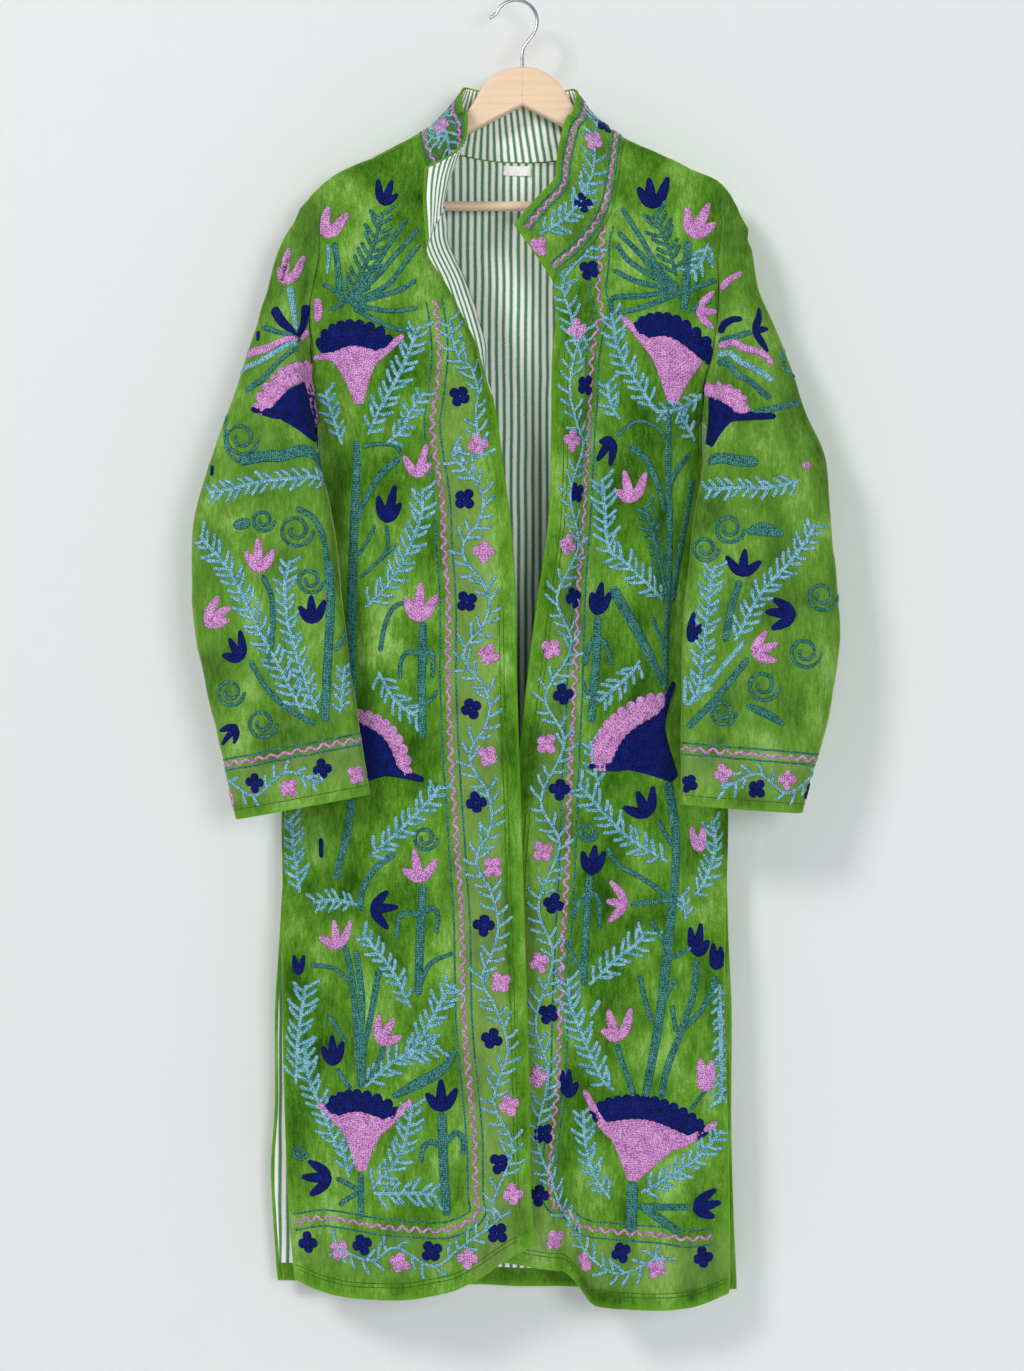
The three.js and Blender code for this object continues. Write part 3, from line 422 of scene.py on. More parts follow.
def doubled(distance):
    """The turned-in edge: a little thicker as far as its double row of stitches."""
    lift = 0.55 * smooth((TURNED_IN - distance) / 3)
    return lift - 0.45 * sum(np.exp(-((distance - line) ** 2)) for line in STITCH_LINES)


def pucker(z, side, row, height, period, wander=0.0, slow=1.0):
    """Small waves along the side seam above the underarm."""
    wave = np.sin(z / period + wander * np.sin(z / slow))
    return height * wave * np.exp(-side / 11) * (row < UNDERARM) * smooth(row)


def waves(x, z, seed, size=1.0):
    """The cloth's slight waviness: long in the hang, short across it."""
    long = noise(x / 44, z / 170, seed) * 2.1 + noise(x / 23, z / 80, seed + 3) * 0.9
    small = noise(x / 11, z / 23, seed + 5) * 0.2 + noise(x / 17, z / 9, seed + 7) * 0.12
    return size * (long + small)


RIGHT_FRONT_CREASES = [
    (-190, -205, -150, -330, 9, 1.6), (-168, -196, -128, -300, 8, -1.5),
    (-196, -300, -150, -420, 9, 1.8), (-190, -395, -140, -520, 10, -2.2),
    (-205, -470, -170, -640, 9, 2.0), (-70, -1165, -14, -1245, 7, -2.6),
    (-96, -1230, -20, -1275, 6, 2.4), (-60, -1140, -8, -1205, 6, 2.0),
    (-44, -1245, -10, -1290, 5, -2.0), (-150, -1265, -60, -1300, 6, -1.2),
    (-232, -980, -214, -1120, 6, 2.2), (-226, -1130, -206, -1270, 7, -1.8),
    (-60, -560, -36, -700, 9, 1.4), (-120, -700, -96, -860, 12, 1.6),
    (-140, -900, -110, -1040, 10, -1.6)]
LEFT_FRONT_CREASES = [
    (140, -190, 178, -300, 9, -1.6), (160, -200, 196, -280, 8, 1.8),
    (190, -330, 140, -470, 9, 1.6), (150, -420, 128, -640, 9, 2.2),
    (176, -520, 150, -700, 9, -2.0), (40, -330, 52, -470, 8, 1.8), (30, -1000, 52, -1150, 9, 1.8),
    (60, -1190, 80, -1330, 6, 2.6), (196, -820, 214, -900, 7, 2.4),
    (205, -880, 190, -1010, 8, -2.0), (120, -1250, 200, -1285, 7, 1.6),
    (0, -1235, 60, -1270, 6, -2.0)]
BACK_CREASES = [
    (-180, -220, -110, -330, 11, 1.8), (180, -220, 110, -330, 11, 1.8),
    (-195, -400, -120, -500, 12, -2.0), (186, -400, 120, -500, 12, -2.0),
    (-60, -260, -50, -480, 16, 1.8), (60, -260, 50, -500, 16, -1.8),
    (-170, -560, -150, -900, 14, 2.2), (20, -700, 28, -1180, 15, 2.4),
    (180, -640, 190, -980, 14, -2.2), (-220, -930, -200, -1150, 9, 2.4),
    (-90, -1000, -100, -1290, 12, -2.2), (100, -1080, 110, -1300, 12, 2.0)]
RIGHT_SLEEVE_CREASES = [
    (-206, -208, -232, -300, 6, 3.4), (-219, -216, -246, -330, 6, -3.2),
    (-200, -236, -215, -340, 5, -3.0), (-228, -228, -262, -330, 7, 2.4),
    (-205, -420, -262, -390, 8, -2.6), (-196, -455, -258, -430, 7, 2.6),
    (-190, -490, -268, -470, 8, -2.4), (-182, -560, -262, -555, 10, 2.0),
    (-310, -560, -240, -610, 12, -1.8), (-322, -600, -262, -660, 11, 1.8),
    (-318, -660, -270, -730, 10, -1.8), (-296, -740, -240, -800, 9, 1.6),
    (-250, -300, -280, -480, 10, 1.8), (-200, -700, -180, -800, 9, -1.4)]
LEFT_SLEEVE_CREASES = [
    (216, -236, 250, -232, 6, 1.3), (214, -246, 248, -244, 5, -1.5),
    (210, -200, 222, -300, 6, -2.6), (226, -215, 240, -290, 7, 2.2),
    (196, -430, 268, -395, 8, -2.4), (190, -470, 262, -440, 8, 2.4),
    (188, -500, 280, -478, 8, -2.2), (248, -330, 276, -500, 10, 2.4),
    (262, -360, 286, -470, 8, -1.8), (300, -520, 240, -600, 12, -2.0),
    (312, -600, 262, -640, 11, 2.0), (320, -650, 280, -720, 9, -2.2),
    (312, -700, 286, -790, 8, 2.0), (240, -700, 214, -790, 10, 1.4),
    (322, -560, 300, -640, 8, 1.8)]


def measures(cloth, rows):
    """x, z and row, and the distances from the top, hem, first and last columns."""
    x, z = cloth.points[..., 0], cloth.points[..., 2]
    top, first = spread(cloth.points, 0), spread(cloth.points, 1)
    return x, z, rows[:, None] + 0 * x, top, top[-1:] - top, first, first[:, -1:] - first


def dressed(cloth, height, stripe, pale, rim, fall=None):
    """Raises the cloth by its small forms, and keeps what its materials ask for.

    stripe and fall run across and down the cloth in mm, pale is the share of worn nap, and
    rim is the distance to a free edge.
    """
    cloth.push(height)
    cloth.stripe, cloth.pale, cloth.rim = stripe, pale, rim
    cloth.fall = spread(cloth.points, 0) if fall is None else fall
    return cloth


def make_right_front():
    places = np.concatenate([-np.linspace(1, 0, 17)[:-1], columns(44, start=False)])
    cloth = Cloth(right_front(ROWS[:, None], places[None]), -1)
    x, z, row, top, hem, free, side = measures(cloth, ROWS)
    calm = smooth(free / 26) + 0 * x  # the turned edge keeps its roll
    calm = np.where(row > 11, 0.35 + 0.65 * calm, calm)
    height = waves(x, z, 11) * calm * smooth(side / 20 + 0.1)
    height += creases(RIGHT_FRONT_CREASES, x, z) * calm
    height += pucker(z, side, row, 0.9, 13.5, 0.7, 41)
    height += np.where(row < VENT, seam(side), 0) + seam(top)
    vent = np.where(row > VENT_TOP, side, FAR)
    height += doubled(np.minimum(np.minimum(np.where(row > 8, free, FAR), hem), vent))
    height += (1.1 * np.sin(x / 17 + 1) * np.exp(-hem / 26)
               + 0.7 * np.sin(z / 31) * np.exp(-free / 18) * (row > 12))
    pale = np.maximum(strip(free, 16, 74, 10) * smooth((row - 6) / 6), 0.4 * strip(hem, 16, 70, 10))
    stripe = free - RIGHT_ROLL("strip", ROWS)[:, None]
    return dressed(cloth, height, stripe, pale, np.minimum(free, np.minimum(hem, vent)))


def make_left_front():
    cloth = Cloth(left_front(ROWS[:, None], columns(46)[None]), 1)
    x, z, row, top, hem, free, side = measures(cloth, ROWS)
    height = waves(x, z, 23) * smooth(side / 20 + 0.1) * (0.3 + 0.7 * smooth(free / 20))
    height += creases(LEFT_FRONT_CREASES, x, z)
    height += pucker(z, side, row, 0.9, 14.5, 0.6, 37)
    height += np.where(row < VENT, seam(side), 0) + seam(top)
    height += np.where(row < 6.6, seam(free), 0)
    vent = np.where(row > VENT_TOP, side, FAR)
    opening = np.where(row > 6.5, free, FAR)
    height += doubled(np.minimum(np.minimum(opening, hem), vent))
    height += (1.2 * np.sin(x / 19) * np.exp(-hem / 26)
               + 0.6 * np.sin(z / 35) * np.exp(-free / 18) * (row > 8))
    low = strip(hem, 14, 72, 12)
    pale = np.maximum(0.45 * strip(free, 14, 66, 12) * smooth((row - 8) / 8), 0.7 * low)
    return dressed(cloth, height, free, pale, np.minimum(opening, np.minimum(hem, vent)))


def make_back():
    cloth = Cloth(back(ROWS[:, None], columns(92)[None]), -1)
    x, z, row, top, hem, right, left = measures(cloth, ROWS)
    side = np.minimum(right, left)
    height = (waves(x, z, 37, 1.1) + creases(BACK_CREASES, x, z)) * smooth(side / 24 + 0.1)
    height = height * smooth(row / 0.8)
    height += pucker(z, side, row, 0.8, 14)
    height += np.where(row < VENT, seam(side), 0) + seam(top)
    edge = np.minimum(hem, np.where(row > VENT_TOP, side, FAR))
    height += doubled(edge)
    height += 1.0 * np.sin(x / 23) * np.exp(-hem / 26)
    return dressed(cloth, height, x + 0, 0.6 * strip(hem, 14, 72, 12), edge)


def make_sleeve(side, outward, table, seed):
    rows = np.concatenate([
        [0, 0.03, 0.08, 0.16], np.linspace(0.25, 2, 15), np.linspace(2, 13, 111)[1:]])
    fine = np.linspace(0, 1, 161)
    share = np.linspace(0, 1, 40)[:-1]
    rings = []
    for half in (0, 1):  # even columns over the front, then over the back
        dense = sleeve(side, rows[:, None], half + fine[None])
        run = spread(dense, 1)
        rings.append(np.stack([read_off(share * r[-1], r, d) for r, d in zip(run, dense)]))
    cloth = Cloth(np.concatenate(rings, 1), outward, closed=True)
    x, z, row, down, cuff, around, _ = measures(cloth, rows)
    height = waves(x, z, seed, 1.2) * smooth(down / 14) * (0.4 + 0.6 * smooth(cuff / 30))
    height += creases(table, x, z) * smooth(down / 10)
    gather = np.sin(around / 4.6 + 1.3 * np.sin(around / 23 + seed))
    gather = gather * np.exp(-((down - 9) / 11) ** 2)
    height += 1.3 * gather * smooth(down / 5)
    cap = np.exp(-((down - 12) / 12) ** 2)  # it stands over its seam
    height += 1.4 * cap * smooth(down / 5)
    height += seam(down, 1.0) + doubled(cuff)
    under = np.minimum(around, around[:, -1:] + 5 - around)
    height += seam(under, 0.8, 1.5)
    armpit = np.exp(-(((row - 1.9) / 1.5) ** 2))
    height += 4.2 * armpit * np.exp(-((under / 34) ** 2)) * smooth(down / 25)
    return dressed(cloth, height, around, 0.6 * strip(cuff, 14, 56, 8) + 0.25, cuff)


def make_collar():
    places = np.concatenate([
        np.linspace(-5, 0, 40), np.linspace(0, 1, 56)[1:-1], np.linspace(1, 7, 62)])
    ups = np.concatenate([NEAR_EDGE * 3, np.linspace(0, 1, 15)[1:-1], 1 - NEAR_EDGE[::-1] * 3])
    p = collar_band(ups[:, None], places[None])
    for _ in range(14):  # soften the bends where the band turns from the fronts to the back
        eased = (p[:, :-2] + 2 * p[:, 1:-1] + p[:, 2:]) / 4
        share = np.broadcast_to(smooth(ups * 2.5)[:, None], eased.shape[:2])
        p[:, 1:-1] = mix(p[:, 1:-1], eased, share)
    cloth = Cloth(p, 1)
    _, _, _, up, top, run, end = measures(cloth, ups)
    height = 0.9 * noise(run / 26, up / 30, 51) + 0.35 * noise(run / 9, up / 14, 52)
    height = height * smooth(up / 9) * smooth(top / 9 + 0.2)
    height += seam(up) + 0.5 * smooth((8 - top) / 3)
    rim = np.minimum(top, np.minimum(run, end))
    return dressed(cloth, height, run[:1] + 0 * up, 0.15 + 0 * up, rim, up)


# ---- Meshes ----
def new_object(name, points, faces, materials, slots=None, **attributes):
    mesh = bpy.data.meshes.new(name)
    mesh.from_pydata((np.asarray(points) * MM).tolist(), [], [list(map(int, f)) for f in faces])
    for material in materials:
        mesh.materials.append(material)
    if slots is not None:
        mesh.polygons.foreach_set("material_index", np.asarray(slots, np.int32))
    mesh.polygons.foreach_set("use_smooth", np.full(len(mesh.polygons), True))
    for key, values in attributes.items():
        made = mesh.attributes.new(key, "FLOAT_VECTOR", "POINT")
        made.data.foreach_set("vector", np.asarray(values, np.float32).ravel())
    same_way = bmesh.new()
    same_way.from_mesh(mesh)
    bmesh.ops.recalc_face_normals(same_way, faces=same_way.faces)
    same_way.to_mesh(mesh)
    same_way.free()
    made = bpy.data.objects.new(name, mesh)
    bpy.context.scene.collection.objects.link(made)
    return made


def grid_quads(index, flip):
    a, b, c, d = index[:-1, :-1], index[1:, :-1], index[1:, 1:], index[:-1, 1:]
    order = (a, d, c, b) if flip else (a, b, c, d)
    return np.stack([k.ravel() for k in order], 1)


def tube_faces(rings, count, first=0):
    """The faces of a closed run of rings, with one face over each end."""
    index = first + np.arange(rings * count).reshape(rings, count)
    sides = grid_quads(np.concatenate([index, index[:, :1]], 1), True).tolist()
    return [*sides, index[0].tolist(), index[-1][::-1].tolist()]


def shell(name, cloth, near, far, materials, part=None):
    """A closed wall between two depths under a cloth's face, its free rims rounded."""
    rows, cols = part or (slice(None), slice(None))
    p, n = cloth.points[rows, cols], cloth.normals[rows, cols]
    height, width = p.shape[:2]
    outer, inner = p - n * near, p - n * far
    index = np.arange(height * width).reshape(height, width)
    wrap = (lambda k: np.concatenate([k, k[:, :1]], 1)) if cloth.closed else (lambda k: k)
    flip = cloth.outward < 0
    faces = [grid_quads(wrap(index), flip), grid_quads(wrap(index + height * width), not flip)]
    slots = [np.zeros(len(faces[0])), np.full(len(faces[1]), len(materials) - 1)]
    if cloth.closed:
        loops = [index[0], index[-1][::-1]]
        steps = [p[0] - p[1], (p[-1] - p[-2])[::-1]]
    else:
        ring = np.concatenate([index[0, ::-1], index[1:, 0], index[-1, 1:], index[-2:0:-1, -1]])
        i, j = ring // width, ring % width
        toward = p[i.clip(1, height - 2), j.clip(1, width - 2)]
        loops, steps = [ring], [p[i, j] - toward]
        flip = not flip
    points = [outer.reshape(-1, 3), inner.reshape(-1, 3)]
    count = 2 * height * width
    source = [np.arange(height * width)] * 2
    for loop, step in zip(loops, steps):
        normal = n.reshape(-1, 3)[loop]
        step = step - normal * np.sum(step * normal, -1, keepdims=True)
        middle = (outer.reshape(-1, 3)[loop] + inner.reshape(-1, 3)[loop]) / 2
        points.append(middle + unit(step) * (far - near) * 0.45)
        mid = np.arange(count, count + len(loop))
        count += len(loop)
        source.append(loop)
        for one, two in ((loop, mid), (mid, loop + height * width)):
            a, b, c, d = one, np.roll(one, -1), np.roll(two, -1), two
            quads = np.stack([a, b, c, d] if flip == cloth.closed else [a, d, c, b], 1)
            faces.append(quads)
            slots.append(np.zeros(len(quads)))
    source = np.concatenate(source)
    flat = lambda k: np.broadcast_to(k, cloth.points.shape[:2])[rows, cols].ravel()[source]
    lie = np.stack([flat(cloth.stripe), flat(cloth.fall), 0 * flat(cloth.fall)], 1)
    # The first channel is the worn nap; the second is a painted highlight along each free edge, where
    # the velvet's nap catches the light.
    worn, rim = flat(cloth.pale), np.exp(-flat(cloth.rim).clip(0) / 2.5)
    paint = np.stack([worn, rim, 0 * worn], 1)
    return new_object(name, np.concatenate(points), np.concatenate(faces), materials,
                      np.concatenate(slots), cloth=lie, paint=paint)


# ---- Materials ----
class Material:
    """A Principled surface with a few ways to add procedural nodes."""

    def __init__(self, name, roughness, metallic=0.0, sheen=0.0, sheen_tint=(1, 1, 1), coat=0.0,
                 shine=0.5):
        self.made = bpy.data.materials.new(name)
        self.made.use_nodes = True
        self.tree = self.made.node_tree
        self.shader = self.tree.nodes["Principled BSDF"]
        self.put("Roughness", roughness)
        self.put("Metallic", metallic)
        self.put("Specular IOR Level", shine)
        if sheen:
            self.put("Sheen Weight", sheen)
            self.put("Sheen Roughness", 0.35)
            self.put("Sheen Tint", (*sheen_tint, 1))
        if coat:
            self.put("Coat Weight", coat)
            self.put("Coat Roughness", 0.25)

    def put(self, name, value):
        self.shader.inputs[name].default_value = value

    def node(self, kind, **inputs):
        made = self.tree.nodes.new(kind)
        for name, value in inputs.items():
            self.feed(made.inputs[name.replace("_", " ")], value)
        return made

    def feed(self, socket, value):
        if isinstance(value, bpy.types.NodeSocket):
            self.tree.links.new(value, socket)
        else:
            socket.default_value = value

    def math(self, operation, *values):
        made = self.tree.nodes.new("ShaderNodeMath")
        made.operation = operation
        for socket, value in zip(made.inputs, values):
            self.feed(socket, value)
        return made.outputs[0]

    def add(self, *values):
        return self.math("ADD", *values)

    def sub(self, *values):
        return self.math("SUBTRACT", *values)

    def mul(self, *values):
        return self.math("MULTIPLY", *values)

    def attribute(self, name):
        made = self.tree.nodes.new("ShaderNodeAttribute")
        made.attribute_name = name
        split = self.node("ShaderNodeSeparateXYZ", Vector=made.outputs["Vector"])
        return split.outputs[0], split.outputs[1], split.outputs[2]

    def place(self):
        """Position in the object's own frame, in mm."""
        where = self.tree.nodes.new("ShaderNodeTexCoord").outputs["Object"]
        made = self.tree.nodes.new("ShaderNodeVectorMath")
        made.operation = "SCALE"
        self.feed(made.inputs[0], where)
        made.inputs["Scale"].default_value = 1000
        return made.outputs[0]

    def stretched(self, vector, sizes):
        made = self.tree.nodes.new("ShaderNodeVectorMath")
        made.operation = "DIVIDE"
        self.feed(made.inputs[0], vector)
        made.inputs[1].default_value = sizes
        return made.outputs[0]

    def noise(self, vector, detail=2.0, rough=0.55):
        made = self.node(
            "ShaderNodeTexNoise", Vector=vector, Scale=1.0, Detail=detail, Roughness=rough)
        return made.outputs["Fac"]

    def ramp(self, value, *stops):
        made = self.node("ShaderNodeValToRGB", Fac=value)
        ramp = made.color_ramp
        while len(ramp.elements) < len(stops):
            ramp.elements.new(0.5)
        for element, (at, color) in zip(ramp.elements, stops):
            element.position = at
            element.color = (*color, 1)
        return made.outputs["Color"]

    def blend(self, share, one, two, kind="MIX"):
        made = self.tree.nodes.new("ShaderNodeMix")
        made.data_type, made.blend_type = "RGBA", kind
        self.feed(made.inputs["Factor"], share)
        self.feed(made.inputs[6], one if isinstance(one, bpy.types.NodeSocket) else (*one, 1))
        self.feed(made.inputs[7], two if isinstance(two, bpy.types.NodeSocket) else (*two, 1))
        return made.outputs[2]

    def color(self, value):
        self.tree.links.new(value, self.shader.inputs["Base Color"])

    def bump(self, height, strength, distance=0.0003):
        made = self.node("ShaderNodeBump", Height=height)
        made.inputs["Strength"].default_value = strength
        made.inputs["Distance"].default_value = distance
        self.tree.links.new(made.outputs["Normal"], self.shader.inputs["Normal"])


def rgb(red, green, blue):
    """sRGB bytes to a linear colour."""
    one = lambda c: c / 12.92 if c <= 0.04045 else ((c + 0.055) / 1.055) ** 2.4
    return tuple(one(c / 255) for c in (red, green, blue))


def velvet():
    m = Material("velvet", 0.9, sheen=0.75, sheen_tint=rgb(196, 222, 124), shine=0.08)
    at = m.place()
    broad = m.noise(m.stretched(at, (48, 48, 80)), 4.0, 0.6)
    streaks = m.noise(m.stretched(at, (3.0, 3.0, 11)), 4.0, 0.65)
    fine = m.noise(m.stretched(at, (0.9, 0.9, 1.6)), 2.0)
    nap = m.add(m.mul(broad, 0.58), m.mul(streaks, 0.24))
    nap = m.add(nap, m.mul(fine, 0.18))
    green = m.ramp(nap, (0.37, rgb(36, 76, 10)), (0.46, rgb(68, 116, 26)),
                   (0.54, rgb(94, 144, 44)), (0.66, rgb(150, 190, 104)))
    pale, edge, _ = m.attribute("paint")
    worn = m.noise(m.stretched(at, (7, 7, 15)), 3.0, 0.6)
    share = m.mul(pale, m.add(m.mul(worn, 1.1), 0.1))
    green = m.blend(m.mul(share, 0.75), green, rgb(126, 152, 84))
    # Painted highlight: a brighter green near the free edges, standing in for the nap catching the
    # light.
    green = m.blend(m.mul(edge, 0.5), green, rgb(104, 164, 34))
    m.color(green)
    m.bump(m.add(m.mul(fine, 0.5), m.mul(streaks, 0.5)), 0.5)
    return m.made


def striped(name, period=7.4, painted_shade_scale=1.0):
    # A scale below 1 darkens every colour of the stripes, as a painted shade.
    with_painted_shade = lambda *color: rgb(*(painted_shade_scale * c for c in color))
    m = Material(name, 0.75, sheen=0.1, shine=0.2)
    across, along, _ = m.attribute("cloth")
    at = m.place()
    wander = m.mul(m.noise(m.stretched(at, (60, 60, 60)), 1.0), 2.2)
    turn = m.math("FRACT", m.math("DIVIDE", m.add(across, wander), period))
    near = m.math("ABSOLUTE", m.sub(turn, 0.5))
    grain = m.noise(m.stretched(at, (0.7, 0.7, 2.4)), 2.0)
    soft = m.add(near, m.mul(grain, 0.16))
    m.color(m.ramp(soft, (0.22, with_painted_shade(88, 136, 98)), (0.28, with_painted_shade(156, 190, 162)),
                   (0.34, with_painted_shade(230, 237, 231)), (0.5, with_painted_shade(247, 249, 245))))
    weave, ribs = (m.math("SINE", m.mul(way, 2 * math.pi / 1.1)) for way in (along, across))
    m.bump(m.mul(m.add(weave, ribs), 0.25), 0.3, 0.00015)
    return m.made


CHAIN_ROW, CHAIN_LINK = 1.7, 2.3  # a chain stitch's width and length, in mm


def thread(name, base, light_tone_and_stitch_highlight, dark_tone_and_groove_shade):
    """Chain stitch: x of the attribute runs along the stitches and y across them, in mm."""
    m = Material(name, 0.6, sheen=0.04, sheen_tint=light_tone_and_stitch_highlight, shine=0.12)
    along, across, _ = m.attribute("stitch")
    row = m.mul(across, 1 / CHAIN_ROW)
    middle = m.math("ABSOLUTE", m.sub(m.math("FRACT", row), 0.5))
    chain = m.add(m.mul(along, 1 / CHAIN_LINK), m.mul(middle, 0.9))
    wave = m.math("SINE", m.mul(chain, 2 * math.pi))
    groove = m.mul(m.math("POWER", m.mul(middle, 2.0), 2.0), -1.0)
    height = m.add(m.mul(wave, 0.5), groove)
    at = m.place()
    patch = m.noise(m.stretched(at, (9, 9, 9)), 2.0)
    knot = m.node("ShaderNodeTexVoronoi", Vector=m.stretched(at, (1.6, 1.6, 1.6)), Scale=1.0)
    knot = m.sub(1.0, knot.outputs["Distance"])
    height = m.add(m.mul(height, 0.35), knot)
    # The colour follows the stitch relief as well as random patches: painted shade in the grooves and
    # gaps between knots, painted highlight on the stitch tops.
    mixed = m.add(m.mul(patch, 0.35), m.mul(height, 0.55))
    m.color(m.ramp(mixed, (0.22, dark_tone_and_groove_shade), (0.44, base), (0.62, light_tone_and_stitch_highlight)))
    m.bump(height, 1.0, 0.0009)
    return m.made


def beech():
    m = Material("beech", 0.42, coat=0.25)
    at = m.place()
    grain = m.noise(m.stretched(at, (90, 9, 3.2)), 5.0, 0.6)
    fleck = m.noise(m.stretched(at, (5, 1.2, 1.0)), 2.0, 0.6)
    mixed = m.add(m.mul(grain, 0.72), m.mul(fleck, 0.28))
    wood = m.ramp(mixed, (0.3, rgb(222, 188, 155)), (0.5, rgb(231, 201, 170)),
                  (0.7, rgb(238, 210, 182)))
    split = m.node("ShaderNodeSeparateXYZ", Vector=at)
    joint = m.math("ABSOLUTE", m.sub(split.outputs[0], HANGER_X))
    line = m.sub(1.0, m.math("MINIMUM", m.math("DIVIDE", joint, 0.5), 1.0))
    m.color(m.blend(m.mul(line, 0.32), wood, rgb(140, 96, 60)))
    m.bump(mixed, 0.2, 0.0002)
    return m.made


def chrome():
    m = Material("chrome", 0.27, metallic=1.0)
    wear = m.noise(m.stretched(m.place(), (2.2, 2.2, 6)), 3.0)
    m.color(m.ramp(wear, (0.3, rgb(166, 168, 175)), (0.7, rgb(194, 196, 203))))
    m.bump(wear, 0.02, 0.0001)
    return m.made


def satin():
    m = Material("label", 0.6, sheen=0.2)
    at = m.place()
    split = m.node("ShaderNodeSeparateXYZ", Vector=at)
    warp = m.math("SINE", m.mul(split.outputs[0], 2 * math.pi / 0.5))
    weft = m.math("SINE", m.mul(split.outputs[2], 2 * math.pi / 0.8))
    cloudy = m.noise(m.stretched(at, (3, 3, 3)))
    mixed = m.add(cloudy, m.mul(m.add(warp, weft), 0.04))
    m.color(m.ramp(mixed, (0.3, rgb(226, 226, 220)), (0.6, rgb(246, 246, 242))))
    m.bump(m.add(warp, weft), 0.2, 0.0001)
    return m.made


HANGER_X = 6.5
VELVET_LOOK = velvet()
# The facing is the lining's stripes at 0.9 brightness: a painted shade on the turned strip.
STRIPES, FINE_STRIPES = striped("striped_lining"), striped("striped_facing", 4.2, 0.9)
# Each thread: its colour, a lighter one that is partly painted highlight on the stitch tops, and a
# darker one that is partly painted shade in the grooves.
THREADS = {
    "navy": thread("thread_navy", rgb(4, 22, 104), rgb(14, 40, 138), rgb(2, 6, 54)),
    "pink": thread("thread_pink", rgb(216, 146, 212), rgb(246, 198, 242), rgb(152, 88, 150)),
    "teal": thread("thread_teal", rgb(60, 124, 116), rgb(104, 172, 160), rgb(22, 74, 72)),
    "blue": thread("thread_blue", rgb(128, 190, 208), rgb(186, 226, 236), rgb(58, 122, 146)),
    "green": thread("thread_green", rgb(70, 120, 16), rgb(104, 156, 40), rgb(44, 84, 8)),
}

# ---- The jacket's cloth ----
RIGHT_FRONT, LEFT_FRONT, BACK = make_right_front(), make_left_front(), make_back()
RIGHT_SLEEVES = make_sleeve(RIGHT, -1, RIGHT_SLEEVE_CREASES, 61)
LEFT_SLEEVES = make_sleeve(LEFT, 1, LEFT_SLEEVE_CREASES, 67)
COLLAR = make_collar()

CLOTHS = dict(right_front=RIGHT_FRONT, left_front=LEFT_FRONT, back=BACK,
              right_sleeve=RIGHT_SLEEVES, left_sleeve=LEFT_SLEEVES, collar=COLLAR)
VISIBLE = {}
for name, cloth in CLOTHS.items():
    lined = [VELVET_LOOK] if name in ("right_front", "back", "collar") else [VELVET_LOOK, STRIPES]
    VISIBLE[name] = shell(f"{name}_cloth", cloth, 0, VELVET, lined)

LINING_NEAR = VELVET + LAYER_GAP
BACK_INSIDE = Cloth(BACK.points, -1)  # at the neck the lining runs straight up to the seam
for key in ("stripe", "fall", "pale", "rim"):
    setattr(BACK_INSIDE, key, getattr(BACK, key))
NECK_COLUMNS = slice(*np.searchsorted(columns(92), (NECK_SHARE, 1 - NECK_SHARE)))
NECK_ROWS = 6
BACK_INSIDE.normals[:NECK_ROWS, NECK_COLUMNS] = BACK.normals[NECK_ROWS, NECK_COLUMNS]
LININGS = {
    name: shell(f"{name}_cloth", cloth, LINING_NEAR, LINING_NEAR + LINING, [look], part)
    for name, cloth, look, part in (
        ("back_lining", BACK_INSIDE, STRIPES, (np.r_[0, 1:221:2], slice(1, -5, 2))),
        ("right_front_lining", RIGHT_FRONT, FINE_STRIPES, (slice(1, -2), slice(0, -3, 2))),
        ("collar_lining", COLLAR, STRIPES, (slice(0, -1), slice(1, -1, 2))))
}


def make_label():
    rows, across = np.linspace(0.37, 0.7, 8), np.linspace(0.46, 0.525, 12)
    cloth = Cloth(back(rows[:, None], across[None]), -1)
    cloth.stripe = cloth.fall = cloth.pale = np.zeros((8, 12))
    cloth.rim = cloth.stripe + 9
    thick, gap = 0.6, 1.9  # mm; it stands off the lining where the neck bends
    near = LINING_NEAR + LINING + gap
    return shell("neck_label_cloth", cloth, near, near + thick, [satin()])


LABEL = make_label()


# ---- Embroidery ----
SUNK, CROWN = -0.35, 1.25  # a stitched shape's rim and middle over the cloth, in mm
ROUND = np.radians([12, 38, 64])  # rings of a stroke's rounded end, by angle
GRAIN = 2.6  # mm between the points of a band, along it and across it
NARROW, WIDE = 9, 17  # mm: up to the first a band is domed, and over the second it lines the cloth
PATCH_RINGS = 26


